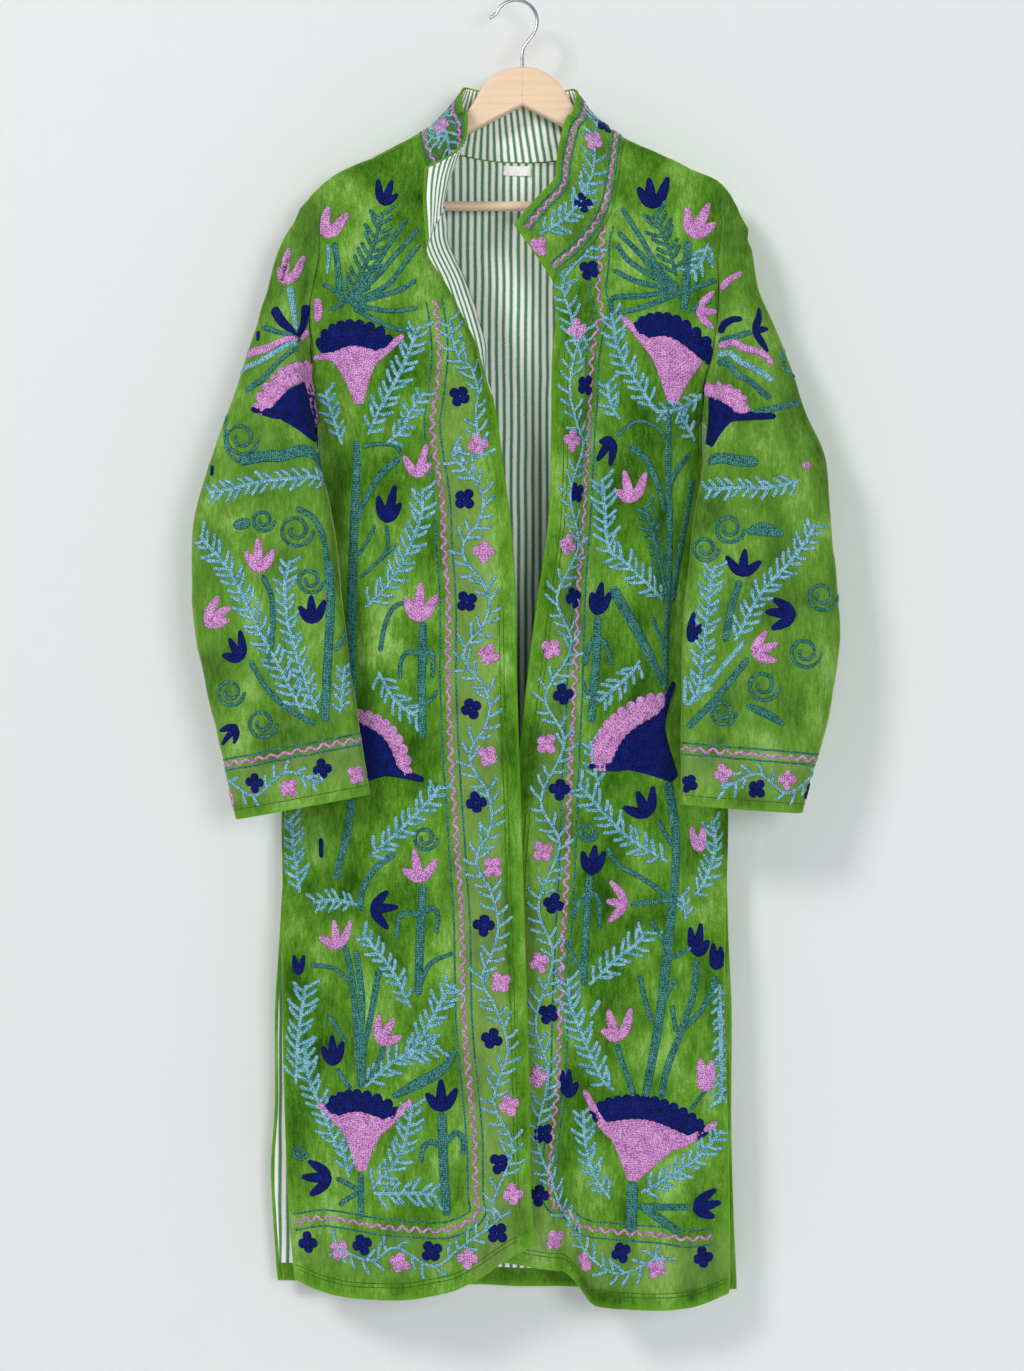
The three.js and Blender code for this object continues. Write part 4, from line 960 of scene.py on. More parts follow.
class Sewing:
    """Draws raised stitching on a cloth, in pixels of the picture or in rows and columns."""

    def __init__(self, name, cloth):
        self.name, self.parts = name, {}
        p, n = cloth.points, cloth.normals
        if cloth.closed:
            p, n = (np.concatenate([k, k[:, :1]], 1) for k in (p, n))
        self.points, self.normals = p, n
        self.height, self.width = p.shape[:2]
        self.closed = cloth.closed
        index = np.arange(self.height * self.width).reshape(self.height, self.width)
        faces = grid_quads(index, False).tolist()
        self.tree = BVHTree.FromPolygons(p.reshape(-1, 3).tolist(), faces)
        self.behind = False

    def eye(self, px, py):
        """The ray through a pixel; from behind, straight to its spot in the hanger's plane."""
        ray = np.array([(px - MIDDLE[0]) / FOCAL, 1, (MIDDLE[1] - py) / FOCAL])
        if not self.behind:
            return EYE, ray
        return EYE + ray * -EYE[1] + [0, 500, 0], np.array([0, -1.0, 0])

    def nearest_in_picture(self, px, py):
        """The place whose picture is nearest, for a pixel just past the cloth's outline."""
        start, ray = self.eye(px, py)
        away = self.points - start
        facing = np.sum(self.normals * (away if not self.behind else ray), -1) < 0
        gap = away - (away @ unit(ray))[..., None] * unit(ray)
        miss = np.where(facing, np.linalg.norm(gap, axis=-1), 1e6)
        return np.array(np.unravel_index(miss.argmin(), miss.shape), float)

    def cast(self, px, py):
        """The row and column under a pixel."""
        start, ray = self.eye(px, py)
        ray = unit(ray)
        best = None
        for _ in range(6):
            hit, _, face, _ = self.tree.ray_cast(Vector(start), Vector(ray))
            if hit is None:
                break
            i, j = divmod(face, self.width - 1)
            best = (np.array(hit), i, j)
            if self.normals[i, j] @ ray < 0:
                break
            start = np.array(hit) + ray * 0.5
        if best is None or self.normals[best[1], best[2]] @ ray >= 0:
            return self.nearest_in_picture(px, py)
        hit, i, j = best
        place = np.array([[i + 0.5, j + 0.5]])
        at = self.at(place)[0]
        return self.move(place, hit - at)[0]

    def wrap(self, place):
        """Clamp to the cloth, or go around a closed one."""
        i, j = place[..., 0].clip(0, self.height - 1.001), place[..., 1]
        last = self.width - 1
        return i, np.mod(j, last - 1e-6) if self.closed else j.clip(0, last - 0.001)

    def at(self, place, what=None):
        grid = self.points if what is None else what
        i, j = self.wrap(place)
        a, b = np.floor(i).astype(int), np.floor(j).astype(int)
        u, v = (i - a)[..., None], (j - b)[..., None]
        top = grid[a, b] * (1 - v) + grid[a, b + 1] * v
        low = grid[a + 1, b] * (1 - v) + grid[a + 1, b + 1] * v
        return top * (1 - u) + low * u

    def move(self, place, offset):
        """Step from each place by an offset in mm, along the cloth."""
        goal, out = self.at(place) + offset, np.array(place, float)
        for _ in range(2):
            i, j = self.wrap(out)
            a, b = np.floor(i).astype(int), np.floor(j).astype(int)
            d = self.points[a + 1, b] - self.points[a, b]
            c = self.points[a, b + 1] - self.points[a, b]
            left = goal - self.at(out)
            dd, cc, dc = (np.sum(x * y, -1) for x, y in ((d, d), (c, c), (d, c)))
            dl, cl = np.sum(d * left, -1), np.sum(c * left, -1)
            det = np.maximum(dd * cc - dc * dc, 1e-6)
            step = np.stack([(dl * cc - cl * dc) / det, (cl * dd - dl * dc) / det], -1)
            out = out + step.clip(-6, 6)
        return out

    def unwound(self, places):
        """On a closed cloth, the columns keep going the short way round."""
        if self.closed:
            turn = self.width - 1
            places[1:, 1] -= np.cumsum(np.round(np.diff(places[:, 1]) / turn)) * turn
        return places

    def curve(self, places):
        """Close places along a smooth curve, and the distance to each."""
        places = self.unwound(np.array(places, float))
        if len(places) > 2:
            places = smooth_line(places, 6)
        fine = np.linspace(0, len(places) - 1, 4 * len(places) + 3)
        dense = read_off(fine, np.arange(len(places)), places)
        return dense, spread(self.at(dense)[None], 1)[0]

    def sideways(self, line):
        """Directions along the cloth and across a line of places."""
        normals = unit(self.at(line, self.normals))
        return unit(np.cross(normals, np.gradient(self.at(line), axis=0)))

    def ribbon(self, color, left, right, height, along):
        """A closed raised band between two lines of places."""
        widths = np.linalg.norm(self.at(left) - self.at(right), axis=-1)
        width = widths.max()
        s = np.linspace(-1, 1, int(np.clip(3 + width / GRAIN, 4, 22)))
        share = (s + 1) / 2
        places = left[:, None] + (right - left)[:, None] * share[None, :, None]
        p, n = self.at(places), unit(self.at(places, self.normals))
        dome = 1 - np.abs(s) ** (3 if width < NARROW else 7)
        up = SUNK + (height[:, None] - SUNK) * dome[None]
        across = (share[None] - 0.5) * widths[:, None]
        stitch = np.stack([np.broadcast_to(along[:, None], up.shape), across, 0 * up], -1)
        self.keep(color, p, n, up, stitch, width > WIDE)

    def keep(self, color, p, n, up, stitch, wide):
        """A raised band is closed below. A wide one follows the cloth below too."""
        points = p + n * up[..., None]
        if wide:
            under = slice(-2, 0, -1)
            points = np.concatenate([points, (p + n * SUNK)[:, under]], 1)
            stitch = np.concatenate([stitch, stitch[:, under]], 1)
        rings, count = points.shape[:2]
        part = (rings, count, points.reshape(-1, 3), stitch.reshape(-1, 3))
        self.parts.setdefault(color, []).append(part)

    def stroke(self, color, places, width, height=CROWN):
        """width: one number, or several spaced evenly from start to end, in mm."""
        dense, run = self.curve(places)
        total = run[-1]
        widths = np.atleast_1d(np.asarray(width, float))
        spaced = np.linspace(0, 1, len(widths))
        wide = lambda t: np.interp(t / total, spaced, widths)
        start, end = (min(wide(np.array(x)) / 2, total * 0.45) for x in (0.0, total))
        count = max(2, int((total - start - end) / GRAIN) + 2)
        inner = np.linspace(start, total - end, count)
        at = np.concatenate([
            start * (1 - np.cos(ROUND)), inner, total - end * (1 - np.cos(ROUND[::-1]))])
        thin = np.concatenate([np.sin(ROUND), np.ones(count), np.sin(ROUND[::-1])])
        middle = read_off(at, run, dense)
        offset = self.sideways(middle) * (wide(at) * thin / 2)[:, None]
        tall = np.minimum(height, 0.35 + 0.3 * wide(at)) * np.sqrt(thin)
        self.ribbon(color, self.move(middle, offset), self.move(middle, -offset), tall, at)

    def patch(self, color, left, right, height=CROWN):
        """A filled shape between two lines of pixels, from one end to the other."""
        sides = []
        for line in (left, right):
            dense, run = self.curve([self.cast(*p) for p in line])
            sides.append(read_off(np.linspace(0, run[-1], PATCH_RINGS), run, dense))
        length = np.linalg.norm(self.at(sides[0])[0] - self.at(sides[0])[-1])
        tall = np.full(PATCH_RINGS, height)
        tall[[0, -1]], tall[[1, -2]] = SUNK + 0.05, height * 0.85
        self.ribbon(color, *sides, tall, np.linspace(0, length, PATCH_RINGS))

    # Motifs, with places in pixels
    def line(self, color, width, *pixels):
        self.stroke(color, [self.cast(*p) for p in pixels], width)

    def frond(self, color, places, leaf, spine=5.2, gap=9.6, thick=5.2, keep=lambda tip: True):
        """A stem with leaflets on both sides, pointing towards its first end."""
        self.stroke(color, places, (spine, spine, spine * 0.85))
        dense, run = self.curve(places)
        for k, t in enumerate(np.arange(3.0, run[-1] - 3, gap / 2)):
            here, before = read_off(t, run, dense)[None], read_off(t - 1.5, run, dense)[None]
            ahead = unit(self.at(before) - self.at(here))[0]
            normal = unit(self.at(here, self.normals))[0]
            side = np.cross(normal, ahead) * (1 if k % 2 else -1)
            wobble = math.sin(k * 2.4 + t)
            reach = leaf * (1.4 + 0.18 * wobble)
            angle = math.radians(57 + 8 * math.sin(k * 1.7))
            way = ahead * math.cos(angle) + side * math.sin(angle)
            bent = ahead * 0.22 * leaf
            middle = self.move(here, way * reach * 0.55)[0]
            tip = self.move(here, way * reach + bent)[0]
            if keep(self.at(tip[None])[0]):
                widths = (thick * 0.85, thick, thick * 0.95)
                self.stroke(color, [here[0], middle, tip], widths, CROWN * 0.85)

    def fern(self, color, leaf, *pixels):
        self.frond(color, [self.cast(*p) for p in pixels], leaf)

    def tulip(self, color, base, *tips):
        tips = [np.array(t) for t in tips]
        base = np.array(base)
        reach = np.mean([np.linalg.norm(t - base) for t in tips])
        way = sum((t - base) / np.linalg.norm(t - base) for t in tips)
        way = way / np.linalg.norm(way)
        cup = base + way * reach * 0.3
        for tip in tips:
            aside = (tip - base) - way * ((tip - base) @ way)
            bow = base + way * reach * 0.36 + aside * 0.52
            size = reach * 0.36
            widths = (size * 0.8, size * 1.15, size * 0.95, size * 0.42)
            self.line(color, widths, base + way * 2, bow, tip)
        widths = (reach * 0.42, reach * 0.6, reach * 0.42)
        self.line(color, widths, base, cup, cup + way * reach * 0.12)

    def flower(self, color, size, centre, turn=0.6):
        here = np.array([self.cast(*centre)])
        self.flower_at(color, size, here, turn)

    def flower_at(self, color, size, here, turn=0.6, petals=4):
        normal = unit(self.at(here, self.normals))[0]
        right = unit(np.cross(normal, [0, 0, 1.0]))
        up = np.cross(right, normal)
        for k in range(petals):
            angle = turn + 2 * math.pi * k / petals
            way = right * math.cos(angle) + up * math.sin(angle)
            reach = size * (0.5 + 0.05 * math.sin(5 * k + turn))
            ends = [self.move(here, way * size * 0.02)[0], self.move(here, way * reach)[0]]
            self.stroke(color, ends, (size * 0.34, size * 0.5, size * 0.56))

    def spiral(self, color, radius, centre, turns=1.6, width=4.6):
        angle = np.linspace(0, 2 * np.pi * turns, int(9 * turns) + 2)
        reach = radius * (1 - 0.72 * angle / angle[-1])
        self.line(color, width, *[(centre[0] + r * math.cos(a), centre[1] + r * math.sin(a))
                                  for a, r in zip(angle, reach)])

    def fan(self, crown, cone, outer, arc, tip, *horns):
        """A palmette: a scalloped crown over a cone that runs down to its tip."""
        arc, outer, tip = np.array(arc, float), np.array(outer, float), np.array(tip[0], float)
        widen = (arc[0] - arc[-1]) * 0.06
        arc[0], arc[-1] = arc[0] + widen, arc[-1] - widen
        rim = smooth_line(arc, 6)
        side = lambda corner, end: smooth_line([corner, corner * 0.5 + tip * 0.5, end], 8)
        drop = lambda k: tip + unit(arc[k] - arc[-1 - k]) * 4.5
        for horn in map(np.array, horns):
            k = 0 if np.linalg.norm(arc[0] - horn) < np.linalg.norm(arc[-1] - horn) else -1
            near, inward = arc[k], unit(arc[-1 - k] - arc[k])
            self.line(cone, (6, 9, 12, 9), horn, near + unit(tip - near) * 4 + inward * 2,
                      near + (tip - near) * 0.26 + inward * 7)
        self.cone(cone, rim, side(arc[0], drop(0)), side(arc[-1], drop(-1)))
        tall = np.linalg.norm(outer[1] - arc[1])
        run = spread((rim + unit(rim - tip) * tall)[None], 1)[0][-1]
        count = max(4, int(round(run / 9.5)))
        share = np.linspace(0, 1, count)
        feet = read_off(share, np.linspace(0, 1, len(rim)), rim)
        away = unit(feet - tip)
        heads = feet + away * (tall * (1 - 0.3 * np.abs(2 * share - 1) ** 5))[:, None]
        feet -= away * 2.2
        size = run / (count - 1)
        for foot, head in zip(feet, heads):
            self.line(crown, (size * 0.9, size * 1.2, size * 1.15), foot, (foot + head) / 2, head)
        self.patch(crown, feet, feet + (heads - feet) * 0.82)

    def cone(self, color, rim, left, right):
        """Rings from the rim to the tip, each between the cone's two sides."""
        count = int(np.clip(np.linalg.norm(rim[0] - rim[-1]) / 2.8, 6, 26))
        share = np.linspace(0, 1, count)
        bulge = read_off(share, np.linspace(0, 1, len(rim)), rim)
        bulge = bulge - (rim[0] + (rim[-1] - rim[0]) * share[:, None])
        down = np.linspace(0, 1, len(left))
        places = np.array([
            [self.cast(*p) for p in one + (two - one) * share[:, None] + bulge * (1 - t) ** 1.5]
            for one, two, t in zip(left, right, down)])
        if self.closed:
            turn = self.width - 1
            places[..., 1] -= np.round((places[..., 1] - places[0, 0, 1]) / turn) * turn
        p, normal = self.at(places), unit(self.at(places, self.normals))
        s = np.abs(np.linspace(-1, 1, count))
        edge = (1 - s**9)[None] * (1 - (2 * np.abs(down - 0.5)) ** 9)[:, None]
        up = SUNK + (CROWN - SUNK) * edge
        along = np.linalg.norm(p[:1] - p, axis=-1)
        across = (share - 0.5)[None] * np.linalg.norm(p[:, 0] - p[:, -1], axis=-1)[:, None]
        self.keep(color, p, normal, up, np.stack([along, across, 0 * up], -1), True)

    def border(self, places, half=8.0, swing=2.6, period=13.0, rail="teal", middle="pink"):
        """A zigzag between two stitched lines."""
        dense, run = self.curve(places)
        for kind in (-1, 1, 0):  # the two rails, then the zigzag
            step = 9.0 if kind else period / 2
            at = np.linspace(0, run[-1], max(3, int(run[-1] / step)))
            line = read_off(at, run, dense)
            if kind:
                off = np.full(len(at), kind * half)
            else:
                ways = np.where(np.arange(len(at)) % 2, 1, -1)
                off = swing * ways * (0.9 + 0.2 * np.sin(at / 17))
            line = self.move(line, self.sideways(line) * off[:, None])
            color, width, tall = (rail, 2.6, 0.65) if kind else (middle, 3.4, 0.95)
            self.stroke(color, line, width, tall)

    def vine(self, color, flowers, size=22.0, leaf=10.5, start=None, sway=1.6):
        """A stem that swings past flowers on alternate sides. flowers: row, column, colour."""
        spots = self.unwound(np.array([f[:2] for f in flowers], float))
        ends = np.concatenate([spots[:1], spots, spots[-1:]])
        middle = (ends[:-2] + 2 * ends[1:-1] + ends[2:]) / 4
        middle[0], middle[-1] = (spots[0] + spots[1]) / 2, (spots[-1] + spots[-2]) / 2
        path = middle + (middle - spots) * sway * 0.9
        if start is not None:
            path = np.concatenate([start, path])
        where = self.at(spots)
        clear = lambda tip: np.linalg.norm(where - tip, axis=1).min() > size * 0.62
        self.frond(color, path, leaf, spine=4.2, gap=12.0, thick=4.6, keep=clear)
        for k, (spot, flower) in enumerate(zip(spots, flowers)):
            self.flower_at(flower[2], size, spot[None], turn=0.5 + 0.9 * k)

    def draw(self, table):
        """Each row: a motif, its colours and sizes, then pixels as x,y, with / between groups."""
        for row in table.strip().splitlines():
            what, *rest = row.split()
            words = [w for w in rest if "," not in w and w != "/"]
            groups = [[tuple(map(float, w.split(","))) for w in g.split() if "," in w]
                      for g in " ".join(rest).split("/")]
            words = [float(w) if w.replace(".", "").isdigit() else w for w in words]
            if what == "line":
                widths = words[1:] if len(words) > 2 else words[1]
                self.line(words[0], widths, *groups[0])
            elif what == "fan":
                horns = [g[0] for g in groups[3:]]
                self.fan(*words, groups[0], groups[1], groups[2], *horns)
            elif what == "flower":
                for k, spot in enumerate(groups[0]):
                    self.flower(words[0], words[1], spot, 0.5 + 0.9 * k)
            else:
                getattr(self, what)(*words, *groups[0])

    def finish(self):
        """One mesh for each colour, of closed bands."""
        made = []
        for color, parts in self.parts.items():
            points, faces, stitches, first = [], [], [], 0
            for rings, count, p, stitch in parts:
                faces += tube_faces(rings, count, first)
                points.append(p)
                stitches.append(stitch)
                first += rings * count
            made.append(new_object(f"{self.name}_{color}_stitching", np.concatenate(points), faces,
                                   [THREADS[color]], stitch=np.concatenate(stitches)))
        return made


RIGHT_FRONT_SEWING = """
tulip navy 384,206 378,179 392,180 398,194
fern teal 12 382,212 376,238 356,285 345,303
tulip pink 325,238 328,206 348,213
line blue 6 5 4 328,244 329,258 327,274
line teal 8 334,242 338,270 343,303
line teal 7 7 6 345,303 366,278 388,246 407,219
line teal 7 7 6 347,303 374,279 398,252 418,229
line teal 7 7 6 350,304 380,290 402,268 420,244
line teal 7 7 6 352,304 380,296 402,289 416,280
line teal 7 6 5 352,304 374,309 396,311 418,308
line teal 7 6 5 354,308 372,318 392,328 412,331
line teal 6 5 344,302 334,290 322,284
line teal 6 5 344,304 335,308 327,309
line pink 10 12 9 317,298 318,310 317,322
fan navy pink 322,350 356,319 388,347 / 330,353 352,344 380,351 / 359,405 / 404,335 / 313,358
fern blue 11 419,325 410,350 385,400 368,435
fern blue 9 425,392 412,410 402,430 385,445
fern blue 9 326,390 332,415 342,445
line teal 5 362,447 378,444 395,446 402,455
tulip pink 416,478 404,456 427,444 431,463
tulip navy 386,523 378,496 395,485 401,503
fern blue 11 423,488 420,520 395,575 365,608
line teal 9 8 7 400,458 380,475 365,500 358,522
line teal 9 11 11 11 10 356,440 352,600 352,790 336,880
line teal 5 375,525 368,540 358,556
line teal 5 396,545 380,560 360,578
line teal 5 386,525 388,545 380,562
tulip pink 417,622 405,597 421,583 437,595
line teal 6 405,602 393,608 385,625 380,652
line teal 9 10 9 423,622 422,672 422,720 423,738
line teal 7 6 5 422,655 408,652 401,662 400,679
line teal 7 6 5 422,655 431,651 433,662 432,679
line teal 5 423,706 431,700 438,690
fern blue 10 419,718 395,700 378,672
fan pink navy 365,705 398,729 418,765 / 360,722 386,738 400,770 / 338,790 / 424,780
fern blue 11 291,815 294,850 300,893
line navy 7 6 321,838 321,858
fern blue 9 313,903 335,900 358,905
tulip pink 336,950 319,937 334,920 351,920
tulip navy 370,910 388,891 398,907 388,929
line teal 8 7 395,853 374,870 363,890 360,912
fern blue 10 440,785 430,800 400,830 370,857
spiral teal 13 425,838
tulip pink 420,883 402,869 414,849 437,859
line teal 9 10 9 423,884 420,940 418,996
line teal 7 6 5 421,917 408,912 399,919 396,939
line teal 7 6 5 423,914 432,908 438,915 436,933
line teal 6 5 420,986 430,964 453,953
fern blue 9 362,932 380,955 395,975 411,1008
line teal 8 8 7 345,945 352,980 356,1020 358,1070
line teal 8 8 7 356,950 362,1000 360,1040 360,1088
line teal 8 7 7 379,968 372,1010 364,1050 362,1088
line teal 6 5 310,965 335,969 353,985
line teal 6 5 328,1015 336,1026 345,1042
tulip navy 298,975 294,955 304,955
tulip navy 333,1066 322,1046 332,1035 343,1041
line teal 6 337,1068 344,1080 352,1090
fern blue 12 306,985 300,1025 296,1085
fern blue 11 456,985 447,992 420,1040 400,1060
tulip pink 380,1045 379,1015 394,1018 402,1036
line teal 7 384,1046 378,1064 366,1084
fern blue 11 440,1046 415,1052 395,1060 365,1087
line teal 5 10 13 11 6 456,1050 442,1070 415,1085 392,1097
fan navy pink 333,1112 362,1089 390,1120 / 336,1116 358,1110 388,1120 / 361,1172 / 318,1103 / 412,1100
line teal 8 361,1172 361,1219
tulip navy 332,1178 308,1161 302,1177 310,1195
line teal 6 336,1178 348,1184 360,1191
line teal 6 339,1205 349,1198 359,1192
fern blue 11 305,1045 308,1075 322,1110 338,1148
fern blue 8 340,1140 345,1158 349,1178
fern blue 11 412,1104 408,1130 396,1162 371,1190
fern blue 11 438,1196 415,1193 373,1193
tulip navy 441,1112 426,1093 441,1079 457,1088
line teal 10 11 10 442,1112 443,1150 447,1216
line teal 8 7 6 442,1146 430,1142 423,1149 421,1163
line teal 8 7 6 446,1142 456,1133 463,1140 463,1156
spiral teal 8 300,1152
"""
LEFT_FRONT_SEWING = """
tulip navy 652,209 638,187 649,178 668,177
tulip pink 692,238 687,207 709,203 716,223
fern blue 10 688,274 701,262 709,243
fern teal 12 655,212 662,232 670,252 676,276
line teal 9 688,240 687,275 683,311
line teal 6 7 6 622,208 642,240 658,268 679,288
line teal 6 7 6 618,232 640,254 660,276 679,290
line teal 6 7 6 616,243 628,260 652,276 678,290
line teal 6 7 6 613,270 636,281 660,287 680,290
line teal 6 7 6 613,314 613,298 640,296 679,290
line teal 6 7 6 617,314 640,308 662,300 682,292
line teal 7 6 716,279 700,286 684,292
line teal 7 6 690,312 700,305 712,300
tulip pink 696,312 714,291 717,311 713,329
fan navy pink 641,320 675,313 708,357 / 645,338 672,336 703,360 / 672,405 / 622,317
fern blue 10 611,312 617,345 642,390 655,411
fern blue 9 608,380 610,402 620,420
fern blue 9 655,412 680,409 702,394
fern blue 8 680,415 688,428 695,441
line teal 8 9 9 9 8 668,405 668,460 668,600 665,690
line teal 5 5 4 617,436 635,422 655,426 666,440
tulip navy 612,437 599,441 597,461 610,466
tulip pink 631,503 624,470 646,472 615,491
line teal 8 8 7 628,446 645,458 656,480 665,512
line teal 7 690,453 676,472 668,492
line teal 7 692,480 686,520 680,550 672,602
fern teal 9 645,505 650,524 662,575 668,603
line teal 12 11 9 612,587 625,610 642,640 664,684
line teal 6 652,617 658,632 665,650
fern blue 11 602,478 608,545 625,562 662,600
tulip navy 596,615 602,582 592,592 611,592
line teal 9 10 9 598,615 596,660 593,700 591,723
line teal 7 6 5 584,666 592,641 604,641 612,666
line teal 6 5 583,680 586,690 592,697
fern blue 10 598,702 615,688 632,672 640,660
fan pink navy 593,762 622,710 660,700 / 610,764 625,734 660,712 / 676,780 / 588,766 / 674,682
fern blue 11 578,783 612,822 632,840 668,862
fern blue 8 590,740 594,765 599,786
tulip navy 647,818 623,807 637,791 653,786
spiral teal 10 588,832
tulip navy 591,875 582,851 595,845 605,851
tulip pink 628,905 610,881 606,901 608,922
line teal 9 8 590,875 586,930 584,986
line teal 7 6 5 572,919 584,896 598,898 600,930
line teal 6 5 565,940 573,956 583,975
line teal 11 10 10 11 10 9 668,782 676,860 662,1000 645,1098
line teal 6 607,848 620,866 645,880 668,897
line teal 6 630,905 650,902 670,900
line teal 6 650,920 658,932 666,946
line teal 6 696,945 683,952 668,960
line teal 6 658,819 664,832 672,846
line teal 6 640,975 645,1000 652,1022
line teal 7 6 676,978 668,992 662,1006
line teal 8 697,960 692,1000 668,1066 661,1098
line teal 7 716,975 708,1000 690,1024
line teal 6 695,1018 682,1030
line teal 6 672,1005 676,1032
fern blue 10 712,820 715,850 705,880 694,896
tulip pink 700,852 691,827 703,826
tulip navy 698,957 690,927 701,923 709,940
tulip navy 716,970 713,943 721,946
fern blue 8 682,893 684,905 686,920
fern blue 11 648,930 635,945 615,960 589,985
tulip pink 617,1042 608,1009 631,1008 601,1030
line teal 7 617,1044 622,1062 630,1084 635,1097
fern blue 11 568,978 572,1010 600,1075 614,1090
line blue 6 600,1000 590,1016
tulip navy 568,1098 562,1070 569,1069 578,1082
fan navy pink 600,1118 655,1096 693,1134 / 605,1122 646,1118 690,1136 / 632,1182 / 584,1090 / 717,1122
line teal 13 633,1182 631,1232
line teal 8 633,1207 660,1207 690,1207
line teal 7 10 8 642,1208 660,1219 680,1233
tulip navy 693,1210 716,1189 721,1202 715,1217
fern blue 10 583,1110 585,1140 592,1170 610,1199
fern blue 10 722,1130 700,1155 680,1170 641,1193
tulip pink 706,1092 700,1058 712,1060
line teal 5 706,1090 698,1100 690,1110
fern blue 8 719,1104 722,1060 721,1015 719,984
"""
RIGHT_SLEEVE_SEWING = """
tulip pink 284,285 278,268 289,248 305,256
line blue 9 8 6 290,286 293,306 297,330
line navy 12 11 6 273,308 283,323 296,337
line navy 12 10 6 306,305 304,322 298,337
line teal 8 6 5 262,328 282,333 300,341
line pink 11 9 6 247,357 270,347 297,341
line blue 8 7 6 241,374 266,358 298,345
line teal 8 7 6 246,392 270,371 299,349
line pink 9 7 301,339 310,331
fan pink navy 258,405 271,379 312,356 / 268,410 290,386 314,378 / 326,447 / 251,409
spiral teal 18 241,438
line teal 5 4 227,416 225,440 230,455 240,463
line teal 12 13 13 238,462 265,456 292,453 324,458
fern blue 9 208,493 240,487 300,478 325,475
line navy 7 5 258,331 258,341
line navy 7 5 212,465 212,476
line teal 9 13 9 233,526 242,524 251,522
spiral teal 12 263,520
spiral teal 18 296,530
line teal 7 296,508 315,520 325,545 330,600
spiral teal 14 310,580
tulip pink 259,573 246,551 258,538 274,549
tulip navy 312,624 299,606 311,595 325,600
tulip pink 205,625 219,596 231,606 230,620
tulip navy 240,662 222,655 229,638 240,630
tulip navy 237,725 222,745 220,731 234,744
line teal 7 262,575 272,600 272,640 268,666
line teal 7 250,660 268,690 290,710 315,724
line teal 10 330,560 330,620 325,722
line teal 6 345,633 335,651
spiral teal 15 230,692
spiral teal 16 262,723
fern blue 11 200,535 235,580 270,650 304,714
fern blue 9 290,560 285,600 305,680 319,714
fern blue 8 345,665 343,690 340,714
"""
LEFT_SLEEVE_SEWING = """
line pink 9 8 6 721,290 730,279 742,273
line navy 11 9 6 719,333 726,323 742,320
tulip navy 752,330 759,308 768,329 768,352
line teal 8 7 719,343 735,337 752,332
line pink 9 9 8 719,348 740,346 760,352 773,365
line blue 8 8 7 718,357 740,361 773,381
line teal 8 8 7 717,364 735,372 757,387 771,399
fan pink navy 711,376 738,388 750,412 / 709,396 728,403 738,414 / 708,446 / 776,416
line teal 8 7 752,413 776,408 800,403
line teal 12 12 12 708,463 720,458 758,462
fern blue 9 704,490 730,488 765,488 799,481
line pink 9 802,464 811,466
line teal 6 782,350 785,368 795,377
spiral teal 16 729,528
spiral teal 14 705,548
spiral teal 16 822,596
spiral teal 17 805,652
spiral teal 17 763,685
spiral teal 14 723,712
line teal 6 15 14 5 747,533 758,529 772,531 783,535
line teal 5 10 9 5 746,706 758,710 772,717 784,725
tulip navy 742,577 726,556 745,549 761,561
fern blue 10 816,524 795,556 760,595 735,641
tulip navy 796,615 773,599 765,612 771,629
tulip pink 752,655 767,631 778,643 777,661
tulip navy 690,642 694,612 701,624
fern blue 10 715,565 710,590 700,680 690,702
line teal 8 740,580 731,610 725,642
line teal 8 748,658 731,680 710,705 687,728
line blue 6 685,676 687,704 720,670 745,641
"""
BACK_MIDDLE_SEWING = """
fan navy pink 474,232 510,196 546,232 / 482,236 510,227 538,236 / 510,304 / 462,222 / 558,222
line teal 9 10 10 10 9 510,304 508,360 508,480 511,548
line teal 7 6 5 509,356 492,350 483,360 481,378
line teal 7 6 5 511,356 528,350 537,360 539,378
tulip pink 481,408 468,386 481,374 495,388
tulip pink 539,408 526,388 540,374 553,386
line teal 7 481,410 488,436 508,462
line teal 7 539,410 532,436 512,462
fern blue 11 478,446 470,480 478,512 506,548
fern blue 11 544,446 552,480 544,512 514,548
tulip navy 510,604 488,582 510,566 532,582
line teal 10 11 10 510,606 509,650 510,702
line teal 7 6 5 509,640 494,634 486,644 485,662
line teal 7 6 5 511,640 526,634 534,644 535,662
fan pink navy 470,744 510,713 550,744 / 480,750 510,741 540,750 / 510,812 / 458,738 / 562,738
line teal 9 9 8 510,812 508,850 511,906
fern blue 11 478,780 470,812 478,850 504,892
fern blue 11 546,780 552,812 544,850 516,892
spiral teal 12 486,924
spiral teal 12 536,924
tulip pink 510,958 492,934 510,918 528,934
line teal 10 11 10 510,960 508,1010 511,1062
line teal 7 6 5 509,1000 494,994 486,1004 485,1022
line teal 7 6 5 511,1000 526,994 534,1004 535,1022
fan navy pink 470,1104 510,1074 550,1104 / 480,1110 510,1101 540,1110 / 510,1168 / 458,1098 / 562,1098
line teal 8 510,1168 510,1212
fern blue 10 478,1136 472,1165 482,1190 502,1206
fern blue 10 544,1136 550,1165 540,1190 518,1206
"""
RIGHT_BORDER = """
434,300 435,400 441,490 444,545 448,598 448,673 451,756 455,817 458,863 462,925 464,1020 470,1088
475,1150 476,1196 478,1212 468,1222 440,1231 408,1229 375,1226 348,1221 321,1218 294,1222
"""
LEFT_BORDER = """
605,222 600,300 596,330 591,383 588,441 582,540 577,623 574,706 570,780 567,869 563,941 559,1058
553,1130 550,1180 553,1204 574,1218 598,1230 630,1233 660,1235 686,1239 712,1236
"""
